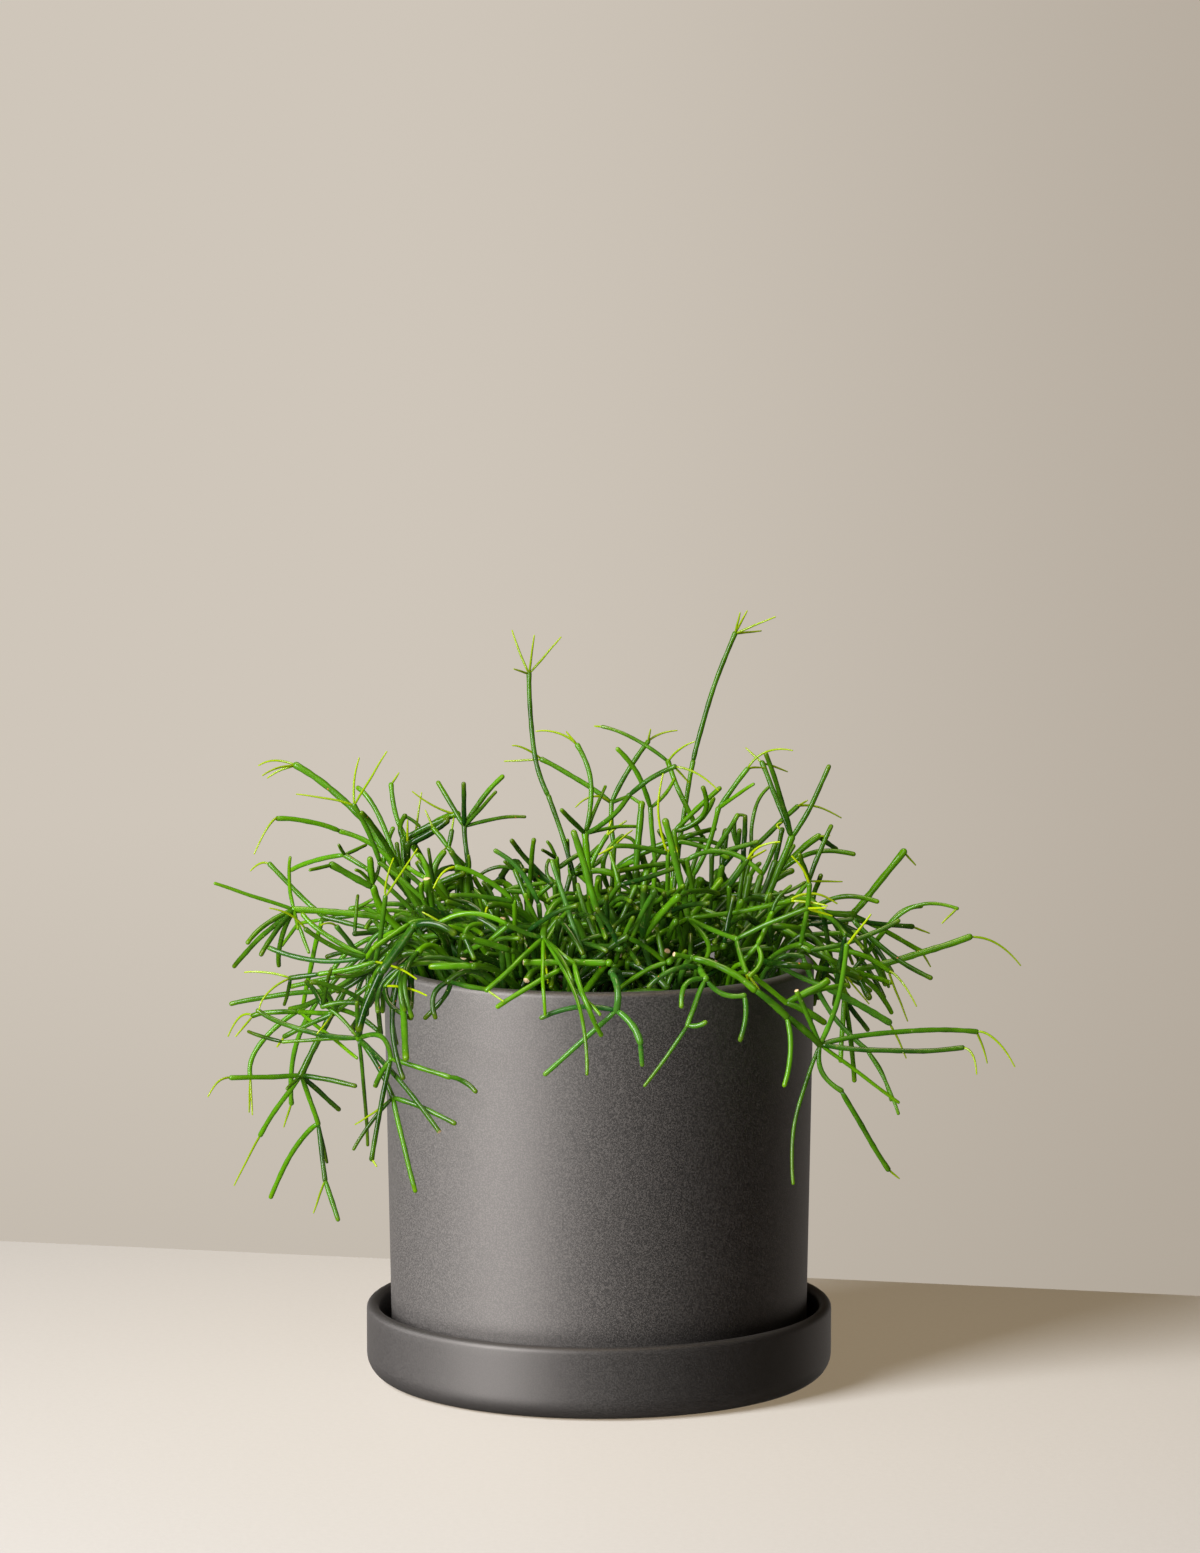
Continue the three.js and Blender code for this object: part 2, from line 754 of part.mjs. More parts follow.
function potSolid() {
  const { foot, rim, rimRadius, footRadius, wall, floor, rimRounding, footRounding, drainRadius } = POT;
  const profile = [
    [drainRadius, foot],
    ...arc(footRadius - footRounding, foot + footRounding, footRounding, -90, 0, 2),
    ...arc(rimRadius - rimRounding, rim - rimRounding, rimRounding, 0, 90, 2),
    ...arc(rimRadius - wall + rimRounding, rim - rimRounding, rimRounding, 90, 180, 2),
    [potRadiusAt(foot + floor) - wall, foot + floor],
    [drainRadius, foot + floor],
  ];
  return turned([...profile, profile[0]]);
}

function soilSolid(feet) {
  const bottom = POT.foot + POT.floor + TOUCH_GAP;
  const radiusAt = (z) => potRadiusAt(z) - POT.wall - TOUCH_GAP;
  const sides = [bottom, SOIL.top].map((z) => [radiusAt(z), z]);
  const soil = turned([[0, bottom], ...sides, [0, SOIL.top]]);
  return feet.reduce((rest, foot) => rest.subtract(holeSolid(foot)), soil);
}

function holeSolid([x, y]) {
  const geometry = new THREE.ExtrudeGeometry(polygon(SOIL.holeSides, SOIL.holeRadius), {
    depth: SOIL.holeDepth + 1,
    bevelEnabled: false,
  });
  geometry.translate(x, y, SOIL.top - SOIL.holeDepth);
  return toSolid(geometry);
}

// ---------------------------------------------------------------- the stems of a clump

function crownSolid(foot) {
  const buried = [...foot, SOIL.top - SOIL.holeDepth + TOUCH_GAP];
  return toSolid(tube(straightCurve(buried, crownTop(foot)), CROWN_RADIUS, CROWN_SIDES));
}

function clumpSolid(clump) {
  return clump.stems
    .filter((stem) => stem.curve)
    .map((stem) => toSolid(tube(stem.curve, STEM[stem.age].radius, STEM[stem.age].sides)))
    .reduce((whole, stem) => whole.add(stem), crownSolid(clump.foot));
}

// ---------------------------------------------------------------- the whole plant

const MATERIALS = {
  pot: new THREE.MeshStandardMaterial({ color: 0x4a4846, roughness: 0.75, metalness: 0 }),
  saucer: new THREE.MeshStandardMaterial({ color: 0x4a4846, roughness: 0.6, metalness: 0 }),
  soil: new THREE.MeshStandardMaterial({ color: 0x33271d, roughness: 0.95, metalness: 0 }),
  stems: new THREE.MeshStandardMaterial({ color: 0x3f7a22, roughness: 0.42, metalness: 0 }),
};

function addPiece(group, name, solid, material) {
  const piece = new THREE.Mesh(toGeometry(solid), material);
  piece.name = name;
  group.add(piece);
}

function makePlant() {
  const clumps = readTable(STEM_TABLE);
  const backs = [
    ...Array.from({ length: TRAILS.count }, (_, i) => trailClump(i)),
    ...Array.from({ length: DOMES.count }, (_, i) => domeClump(i)),
  ];
  const all = [...clumps, ...backs];
  all.forEach(plantCrown);
  growClumps(clumps, sightedCourses);
  growClumps(backs, drawnCourses);

  const plant = new THREE.Group();
  addPiece(plant, 'saucer', saucerSolid(), MATERIALS.saucer);
  addPiece(plant, 'pot', potSolid(), MATERIALS.pot);
  addPiece(plant, 'soil', soilSolid(all.map(({ foot }) => foot)), MATERIALS.soil);
  for (const clump of all) {
    addPiece(plant, `stems_${clump.name}`, clumpSolid(clump), MATERIALS.stems);
  }
  return plant;
}

export default makePlant();
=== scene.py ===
"""A mistletoe cactus (Rhipsalis) in a matte cylindrical pot on its saucer, dressed over its frame.

The stems grow here from the same table and rules as the frame's solids, so each fine stem lies
along the plain tube that it stands for. Growing is in millimetres, and meshes are in metres.
+Z is up, -Y is the front, and the origin is on the floor under the middle of the saucer.
"""
import json
import math
from dataclasses import dataclass, field

import bpy
import numpy as np
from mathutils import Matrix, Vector, noise

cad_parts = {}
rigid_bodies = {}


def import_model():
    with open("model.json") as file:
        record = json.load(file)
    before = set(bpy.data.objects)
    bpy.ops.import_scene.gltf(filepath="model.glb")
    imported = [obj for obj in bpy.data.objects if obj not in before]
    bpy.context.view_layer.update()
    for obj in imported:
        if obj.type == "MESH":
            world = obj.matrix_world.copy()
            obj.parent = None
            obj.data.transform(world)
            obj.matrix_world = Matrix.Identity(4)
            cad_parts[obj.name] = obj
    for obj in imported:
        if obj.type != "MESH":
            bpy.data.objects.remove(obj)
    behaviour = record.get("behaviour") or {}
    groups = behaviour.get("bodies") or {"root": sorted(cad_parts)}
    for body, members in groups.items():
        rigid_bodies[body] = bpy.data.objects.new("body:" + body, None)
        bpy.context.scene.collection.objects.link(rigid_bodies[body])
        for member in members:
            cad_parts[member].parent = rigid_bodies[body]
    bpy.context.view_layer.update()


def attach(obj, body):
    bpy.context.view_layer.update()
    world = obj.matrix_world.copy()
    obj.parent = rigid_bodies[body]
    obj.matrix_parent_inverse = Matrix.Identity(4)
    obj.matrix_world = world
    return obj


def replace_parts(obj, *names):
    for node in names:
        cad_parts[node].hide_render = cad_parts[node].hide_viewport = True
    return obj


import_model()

# ---------------------------------------------------------------- driving dimensions, in mm

MM = 0.001

TOUCH_GAP = 0.3
SAUCER_HEIGHT = 29.6
SAUCER_RIM_RADIUS = 93.4
SAUCER_WALL = 5
SAUCER_FLOOR = 6.2
SAUCER_CORNER = 9.5
SAUCER_INNER_CORNER = 3.5

POT_FOOT = SAUCER_FLOOR + TOUCH_GAP
POT_RIM = 167.5
POT_RIM_RADIUS = 86
POT_FOOT_RADIUS = 83.2
POT_WALL = 6.5
POT_FLOOR = 8
POT_RIM_ROUNDING = 2.2
POT_FOOT_ROUNDING = 3
POT_DRAIN_RADIUS = 5

SOIL_TOP = 150
SOIL_HOLE_DEPTH = 9


@dataclass(frozen=True)
class Age:
    """What the stems of one age have in common."""
    radius: float
    sides: int  # round a fine stem
    end_width: float  # as a share of the width at its foot
    knob: float  # how much its width varies on the way
    youth: tuple  # at its foot and its end, from dark green, 0, to fresh, 1
    scale: float = 1.1  # a round stem is a little thicker than its nominal radius


AGES = {
    "stout": Age(1.5, 12, 0.9, 0.08, (0, 0)),
    "old": Age(1.25, 12, 0.96, 0.08, (0, 0.05)),
    "cut": Age(1.25, 12, 1.04, 0.08, (0, 0.05)),
    "mid": Age(0.95, 10, 0.92, 0.055, (0, 0.06)),
    "slim": Age(0.72, 9, 0.82, 0.04, (0.02, 0.16), 1.12),
    "young": Age(0.4, 7, 0.55, 0.02, (0.55, 1), 1.28),
    "gold": Age(0.45, 7, 0.6, 0.02, (0.9, 1), 1.28),
}
FACET_SCALE = 1.12  # of the frame's tubes, whose few sides would make them thin
CROWN_RADIUS = 1.7
CROWN_HEIGHT = 3
FINE_FOOT_LENGTH = SOIL_HOLE_DEPTH - 1  # a fine clump's foot ends above its hole's bottom
STEM_CLEARANCE = 0.4  # between the straight spans of two clumps, and from stem to pot
FILL_CLEARANCE = 0.15  # the same for the stems that only this script adds
SPAN_SAGS = (1.2, 7)  # a stem that sags more than these has 2 spans, then 3
CHECK_STEP = 3  # between the points of a stem that are tested against the pot

# ---------------------------------------------------------------- stems in space

# Each clump of the table has a name and the place of its foot in the soil (x, y). Its stems
# follow as a tree: a deeper indent grows from the end of the stem above it. A stem is an age,
# then where it ends (x, z, y), then, where it is bent, the point (x, z) that it passes half way.
# x and z are sighted from EYE on the upright plane y = 0, and y is the true depth.
EYE = (0.4, -2400, 532)

STEM_TABLE = """
left_arch -46 12
 mid -83.5 207.5 14 -66 180
  old -120.5 246 26 -98 228.5
   young -135.5 246 34 -128.5 248
 old -90 196.7 -6 -76 176
  old -106.5 206 -12
left_whorl -38 -10
 mid -87.5 207 -10 -62 184
  mid -97.5 230 -14 -91 217
 mid -80 205 0 -60 186
  mid -103 219.5 2 -91 214.5
   mid -128 224.7 -8 -115.5 223.5
  mid -96 237 12 -88.5 227
left_reach -54 26
 mid -92.5 204.5 34 -70 182
  mid -101.5 210 38
   mid -122.7 204 52 -113 208
 mid -92 180.5 42 -74 176
  mid -110 185 50
   mid -131.3 206.3 60 -119 193.5
left_whorl_low -62 8
 old -78 183.5 8 -70 172
  old -121.8 188 4 -100.5 186.6
   slim -153.2 198.6 -8
   slim -123.2 209 18 -123.6 199
   mid -140.3 174.8 -12 -132.5 182.5
   mid -145.8 165.2 16 -136 176
   mid -135 170 -22 -129 179.5
left_knee -52 -42
 mid -89.5 167 -44 -72 174
  mid -85.3 193 -56 -87.3 178
  mid -111.6 162 -40 -100.5 164
   mid -123.3 160.4 -36
  gold -73 160 -92 -81 164.6
 mid -92.5 169 -26 -74 178
  mid -117 180 -30 -104 172
left_drop -48 48
 mid -96 186 54 -70 184
  mid -110.5 184 58
   mid -118.2 150.3 66 -114.5 168.5
 mid -90 177 44 -72 178
  mid -112 152 46 -103 168
   mid -123.3 109.7 52 -121.5 132
   mid -139.7 120.2 40 -134 136
left_hub -66 -24
 old -82 172 -28 -74 170
  mid -90.7 158.7 -36
   mid -106.1 146 -36
    mid -125.8 136.8 -30 -114.6 142.4
    mid -119.7 146.6 -26
     mid -138.4 145.2 -22 -131 146.6
     slim -97 128 -52
 mid -92 165 -14 -82 176
  mid -106.3 155.3 -18
   mid -123.6 148 -8 -114.7 150.6
   mid -147 150 -14 -128 153.5
left_tangle -44 -54
 old -78 170 -48 -62 166
  old -91 157.5 -48 -86.5 165
   old -96.2 136 -50 -94.5 147
    slim -126.4 134.5 -44 -111.5 135.5
     slim -140.3 138.7 -36 -133.5 136.3
    mid -83.3 127.6 -68 -87 136.5
     mid -91.2 87 -74 -88 106
     mid -60 120.3 -80 -73 124.5
      mid -49.5 114.5 -88 -54.5 118.7
    slim -92.8 92.7 -52 -94 115
    mid -82.6 112 -66 -88.5 124.5
     mid -73.8 74 -78 -79 95
     mid -58 101.5 -80 -70 107.5
     slim -98.4 91 -72 -92 101
    mid -64 98 -82 -80 119
    mid -136.4 147.2 -40 -119 139.3
left_cascade -68 22
 old -84 177 18 -76 174
  old -104 151 16 -95 166
   old -119.4 121 12 -111 138.5
    mid -147.3 120 2 -133 120.3
     young -156.7 112.3 -4 -152.3 118.6
    mid -97.8 116.7 2 -109 119.3
    mid -112.6 101.3 14 -115.6 110.4
     mid -131.8 71.5 22 -121.5 92
     mid -110 78.5 6
      mid -104.9 62.3 0
    mid -135.8 96.8 28 -128.5 108.5
     young -146.5 76.2 36 -140 89
left_bar -70 -8
 mid -95 168.5 -8 -82 178
  mid -132.2 172.8 8 -114.4 167.7
left_fringe -32 -62
 mid -79 164.5 -62 -54 164
  mid -85.3 157 -62
  mid -78.5 120 -82 -82.5 141
  old -77.3 128 -88 -78.3 146
 old -60 159 -74 -46 162
  mid -44.5 155.7 -84 -52 157
  mid -65.5 144.5 -80 -66 153.5
left_bow -36 -34
 mid -33.8 191 -50 -34 170
  mid -56.7 205.2 -56 -45 200.3
  mid -58.8 193.8 -60 -46 193.2
 mid -60 181 -48 -46 172
  mid -75.5 182.5 -54 -69 183.5
   mid -90 172.5 -64 -83 177.5
left_curl -24 -52
 mid -35 171.5 -70 -28 164
  old -53.8 177 -76 -45 174.5
   mid -47 182.3 -68 -52 181
 old -50 165.3 -76 -36 160
  old -67 165 -74 -60 165.3
fountain -8 -30
 mid -5 192 -44 -2 170
  old -22.3 176.7 -66 -17.5 190
   mid -44.8 155.5 -86 -33.5 166
   slim -21.5 145.5 -90 -22.3 160
   mid -10 166.5 -80 -15.5 170.5
    mid 0.8 137.5 -92 -5.5 151
   slim -4.8 121.5 -104 -8.5 150
   slim -10.3 156.5 -88 -14.5 168
   mid -36.2 181.8 -70 -29 178.5
    mid -63.3 183 -64 -50 186.5
spill -12 -64
 mid -15 164 -78 -12 160
  mid -40.5 148.8 -90 -27 157.5
 old 4 166.5 -76 -2 160
  old -30 166.8 -74
fan 8 -44
 old 3.8 169.5 -60 7 160
  mid -8.5 198 -52 -3 180.5
  mid 14.5 197 -52 8.3 182
   slim 31 193 -44 22 196.5
  old -1.5 160 -80
spotted 0 -22
 old 0 184 -36 0 166
  old -10 219 -32 -4.5 201
claw 14 -62
 old 5 162.5 -80 9 160
  old 7 147.3 -90 7.4 156
   mid -23 144.3 -90 -9 148.5
   mid -21.5 121.5 -92 -7 134.5
   old 16.5 134.5 -96 13 141.8
    mid 17.3 125.3 -94
teal -20 -14
 mid -6 169 -70 -12 158
  mid -18.7 207.5 -60 -11.5 185
 mid -24 190 -26 -22 168
  mid -41.2 211.7 -26 -31 203
rim_right 38 -48
 old 40 164.5 -70 38 158
  old 42.5 160 -82
   mid 35.5 141.3 -90 39 151.5
    slim 18.3 116.8 -96 28.5 130.5
   mid 58 153.3 -82 49.5 154
    mid 56.6 135.5 -84 58.8 145.5
  mid 20 157 -82 30 164
crown 28 -30
 old 35.5 184.5 -46 32 166
  mid 10 169 -64 24 178
  mid 55 176.2 -64 45 180
   mid 83 188.5 -70 68 182.5
   mid 58.8 163 -72 56.5 169.5
  old 26.5 223.5 -44 31.5 204
  mid 76 191.5 -52 57 187.5
hook 20 -14
 mid 27.5 210.5 -30 26 180
  mid 6.5 213.7 -38 17.5 213
  gold 25.5 242.5 -30 23.8 226
 old 14.8 203 -16 17 176
  old 17 230.5 -14 15.8 217
knot 4 -6
 mid 0 181 -30 2 164
  mid 8 198 -40 3 190
   mid 29.5 204.5 -40 18 200.5
 mid 9.5 182 -24 7 164
  mid 30 196 -56
bow 42 -16
 mid 35 208 -24 40 180
  mid 64.5 203 -26 50 211.5
  mid 8 203.5 -34 22 206
 mid 45 210 -12 44 180
  mid 63 215.3 -10
elbow 34 -4
 mid 37.5 201.5 -6 35 176
  mid 47.5 228.5 -8 43.5 214
   mid 59 244.5 -10 53 236.5
    young 77 252 -12 66.5 251.5
   slim 61.5 238.5 -18 54 233.5
 mid 30 219.5 2 33 186
  mid 48 236.8 8 39 228.5
  mid 45.5 232.5 14 40 224
tall_right 26 12
 mid 31 205 16 28 180
  mid 37.4 247.3 24 33.7 226
   mid 54 298.7 34 43.5 270.5
    young 58.8 307.8 40
    young 70 305.4 30 60.5 301.5
tall_left -12 22
 mid -9.9 201 18 -9 178
  mid -20 233.4 26 -14.3 216.5
   mid -27.8 282.6 36 -26 253.5
    young -34.5 300 42 -32 292.5
    young -15.1 297.3 38
star -4 4
 old -4 200 2 -3 174
  old -5.5 218.5 4
   mid -14.8 228 -8
   mid -8.5 254 12 -3.2 238
   mid 12 234 -6 4 224.5
    mid 30 245.5 -14 21 241
   slim 15 221.5 14 5 221
   slim 2.5 237.5 14 -2 227
fork 6 30
 mid 6 213 34 5 182
  mid 5 231 38 5 222
   mid -22.7 248.4 46 -8.5 240.5
   mid 19.5 255.5 44 11 243
twin 18 0
 mid 22.5 206 0 20 176
  mid 20.5 229 2 21.3 218
   mid 7.5 252.5 -6 15.3 242.5
   slim 30 240.5 10 26 234
 mid 41.5 217 16 30 184
  mid 27.5 247.5 22 34 231
   slim 1.5 261.5 30 14.5 256.5
mast -32 2
 mid -50.5 195 8 -42 172
  mid -53.7 221.4 12 -52.7 209.5
   mid -64 239 20
   mid -53.9 238.5 4
   mid -38.5 241.5 18 -46.9 232.2
   slim -29.6 225.4 10 -41 224.7
 mid -66 198 -14 -50 178
  old -62 211 -10 -65.5 205
cross -40 36
 old -74 214 38 -56 184
  old -56.4 226.5 30 -66 222.5
  mid -82.8 238.2 46 -80 223
right_hub 56 6
 old 66 190 6 60 170
  old 76.8 217 10 71.5 203.5
   mid 66.5 250.5 4 72.5 233
   mid 65 247 18 71 232
   mid 91.5 245.5 8 83.5 228
right_back 44 24
 mid 61 212 28 54 184
  mid 79 229.5 34 70 221
   young 96.5 225 42 86.5 229.5
  slim 68.5 238 38 62 228
 mid 72 203 42 58 178
  old 87.5 217.5 48 80 211.5
  mid 101.5 210.4 40 85 210.8
right_sail 54 -14
 mid 57.5 205 -10 55 178
  mid 58.3 225.5 -6
 mid 52 197 -34 52 172
  mid 59 207.8 -40 55.5 202.5
   gold 72 215.3 -46 64 213.3
right_wing 60 26
 mid 84 187 32 70 178
  old 101 186 36
   old 121.5 211.3 44 109.5 196
   mid 129 171 48 113 180
  mid 111 191.3 24 96 193
right_bar 66 -6
 mid 83 182 -6 74 174
  mid 101 184.2 -4
   mid 125 181.2 6 112 182.3
   mid 132.5 160.5 -10 116 170.5
 mid 83.8 199.5 8 72 180
  mid 92.5 221.5 14 87.5 210
right_light 58 -28
 mid 84 171.5 -40 72 170
  mid 119.5 183.5 -30 103 176
 mid 80.5 174 -54 66 166
  mid 84 198 -58 82.8 186
right_reach 72 10
 mid 90 167 8 82 178
  mid 101.5 163.5 2
   mid 114 179.5 -6 107.5 171
    slim 143 188.5 -12 127 189.5
   old 148 177 12 125 169.3
    young 168.5 165.5 18 159 174.3
   mid 116.5 158.5 -14
   mid 117 146.5 16 111 155.5
right_drop 64 -22
 mid 90 172 -26 78 176
  mid 115.5 163.5 -24 104 170
  mid 98 152 -36 94 164
   mid 102.3 119 -36 100.8 136
   mid 107.5 139.5 -26
right_arms 26 -62
 old 37 168.5 -72 32 160
  mid 30 170 -76
  old 62 155.8 -80 50 164.3
   old 75 144.8 -78 69 150.5
    old 88.5 133.5 -70 82 139.5
     mid 151 138.7 -50 119 138.8
      young 166.5 124.5 -52 158.7 135.5
     mid 145.5 132.2 -76 117 130.8
     slim 120 110 -62
     mid 99 173.5 -76 95.5 152
      gold 108.5 186 -80
     mid 97 114.8 -74 89.3 122.5
      mid 116 82.8 -66 107 97.5
     slim 78 77 -86 79 103
     mid 79 155.3 -78 83.5 145
    mid 74.3 117 -84 76.8 131
right_rim 50 -50
 mid 60 162 -72 54 160
  mid 74.8 150.5 -68 67.5 156.5
   mid 99 157.5 -52 88 155.5
   old 90 142.5 -66 82 147.5
 mid 56.5 166 -64 52 160
  mid 63.3 173.5 -66
   mid 69 186.5 -64
   mid 60.5 161.5 -76 64.7 167
right_teal 62 -40
 mid 72 165.5 -52 66 162
  mid 90 157 -52 80 161
   old 116 142.5 -44 104 149.5
 mid 81.5 169 -42 70 166
  mid 107 131.5 -50 91.5 148.5
   slim 117 111 -46 113.3 122
   slim 120 105.5 -58 114.5 119
"""

# Finer stems, each group under the clump and the stem end (x, z) that it grows from.
EXTRA_TABLE = """
left_arch -120.5 246
 young -134 242 18 -128 245
 young -132 241 28 -127 244
left_arch -106.5 206
 slim -115.3 204 -22
left_whorl -97.5 230
 young -95.5 249 -4 -97.5 239.5
 young -84.5 251.5 -26 -91 241
 young -120.5 234.5 -18 -107 232.5
left_whorl -128 224.7
 young -137.5 210.5 -14 -131.5 222
left_whorl -80 205
 mid -94.5 227 -20 -88 219
left_reach -101.5 210
 slim -103.7 214 30
 slim -93 214 46
left_reach -131.3 206.3
 young -139 203.7 64 -135 206.7
left_whorl_low -121.8 188
 mid -128 165.5 22 -127 176
 slim -120.3 180.4 -6
left_knee -85.3 193
 young -72.5 212.5 -62
 young -82 208.7 -48 -84.8 200
left_knee -123.3 160.4
 young -141.7 162.7 -30 -133 162.7
 young -136 147.7 -42 -132 155
 slim -125.9 149.7 -30 -124.5 154.5
left_knee -117 180
 young -131.5 188.6 -38 -123.3 185.8
left_knee -92.5 169
 mid -118.2 186 -16 -108 177
left_drop -110.5 184
 slim -120.2 182.4 64
  slim -126.6 173.6 72
  slim -116 170.8 58
left_drop -123.3 109.7
 young -126.4 100 54
left_drop -139.7 120.2
 young -140.3 106 44
 young -139 105 34
left_hub -106.1 146
 mid -112.7 158.7 -46 -107.5 152
left_hub -125.8 136.8
 gold -128.9 132.6 -28
left_hub -138.4 145.2
 young -148.5 136.8 -16 -143.5 144.7
 young -145.4 136.8 -28
left_hub -106.1 146
 young -112.8 137.9 -48
left_hub -92 165
 mid -122.9 157 -2 -107 160.8
left_tangle -96.2 136
 mid -96.8 150.3 -60
left_tangle -83.3 127.6
 mid -89.7 116.4 -64 -87.2 121.8
left_tangle -91.2 87
 gold -89.3 84 -76
left_tangle -82.6 112
 young -97.8 101 -54 -90 106
left_cascade -119.4 121
 mid -104.4 107.2 22
left_cascade -110 78.5
 young -114.7 65 12
left_cascade -112.6 101.3
 slim -109.2 85.7 26
left_cascade -119.4 121
 slim -125 115.6 2
left_bar -95 168.5
 mid -104.6 181 -22 -99 174
  young -111 181.8 -28 -107.5 182.6
left_fringe -85.3 157
 gold -69 153.3 -78 -77.5 156.5
 mid -75.3 144.2 -74 -83.5 150
left_fringe -60 159
 mid -69.5 144.3 -72 -61 154
left_bow -56.7 205.2
 gold -66 196.8 -62 -61.8 203.3
left_curl -53.8 177
 mid -50 168.5 -80
fountain -44.8 155.5
 young -38.3 151 -90
fountain -22.3 176.7
 gold -20.5 158.5 -82
fountain -10.3 156.5
 slim 0.4 145.6 -96 -5 151.5
fountain -63.3 183
 young -70.4 187 -62
fan 31 193
 gold 33 191.8 -42
rim_right 35.5 141.3
 mid 42.5 142.4 -92 39 141
rim_right 42.5 160
 mid 33 149 -92 35 158
crown 83 188.5
 gold 90.5 188.7 -76
 gold 93 185.5 -68
crown 58.8 163
 gold 64.5 155 -78
 gold 60 157 -74
crown 76 191.5
 gold 95 190.5 -48 85 194.5
 gold 91 189.5 -58 84 191
crown 35.5 184.5
 old 48.5 199.5 -34 42.2 191.8
 mid 42 167 -68 43.3 175
fountain -36.2 181.8
 mid -43.4 175.6 -68
hook 6.5 213.7
 gold 0 210.3 -40
 young 13.2 219.9 -30 8.8 216.4
hook 27.5 210.5
 gold 31.2 211.3 -36 29.3 214.3
knot 8 198
 slim 4.5 211 -34
 slim 23 185 -36 15 193.5
bow 45 210
 mid 55.2 226 -16 50.2 217.6
elbow 59 244.5
 young 66 245 -2 62 245.2
elbow 30 219.5
 mid 41.5 237 -4 41.3 226
tall_right 54 298.7
 young 56 307 30
 young 64.4 299.8 42
tall_left -27.8 282.6
 young -25.7 298 32
 young -33.8 284.6 30
star -8.5 254
 young -25 259.7 14 -16 259
 young -13 259.5 20
star 30 245.5
 young 47.5 236 -20 38.5 243
 young 36 239 -10
fork -22.7 248.4
 young -37.6 247.7 52
 young -34.4 254 42 -29 252.6
fork 19.5 255.5
 young 31 260 46 24 258.5
 young 20.5 260.5 42
fork 5 231
 slim 12 233.8 30
  slim 17 230.5 26
 young -9.3 229.3 32 -2 233.7
twin 1.5 261.5
 young -1.8 261.8 32
twin 27.5 247.5
 young 38 255.5 16 32 252.5
mast -53.7 221.4
 slim -41.2 235.3 2
mast -66 198
 slim -68 212.3 -20
 cut -72.2 207.2 -8
cross -56.4 226.5
 young -74.3 235.5 28 -64.5 229
cross -82.8 238.2
 young -79.7 243 48
cross -74 214
 young -70.7 235 40
right_hub 65 247
 young 58.5 253 22
 young 75 243.5 26 70 245.5
right_back 79 229.5
 young 83 232 30
right_back 87.5 217.5
 mid 94.5 212.5 54
 young 92 217.8 44
right_sail 59 207.8
 gold 66.5 212 -36
right_wing 121.5 211.3
 young 126.3 206 48
right_wing 129 171
 young 132.5 165 52
right_bar 125 181.2
 young 132 178.5 10
right_bar 83.8 199.5
 mid 80 210 0
 young 97 199.3 14
right_light 84 198
 gold 77 209.5 -60 81.5 204
right_reach 143 188.5
 young 137 182.5 -18
right_reach 114 179.5
 mid 128.5 189.5 4 121 187
right_drop 115.5 163.5
 young 123.5 143 -18
 young 127 149 -32 121 159
right_drop 98 152
 mid 96.8 127 -44
right_drop 90 172
 young 108 150 -22
right_arms 151 138.7
 young 155.5 126 -46 153.3 133.5
right_arms 145.5 132.2
 young 151.3 121.5 -80 149.5 129.5
right_arms 116 82.8
 young 120.5 79 -64
right_rim 74.8 150.5
 cut 91.5 159.3 -62 86 156
right_rim 69 186.5
 slim 76.5 197.5 -62 71.5 192.5
right_teal 116 142.5
 young 123 128 -40 119.5 136
"""

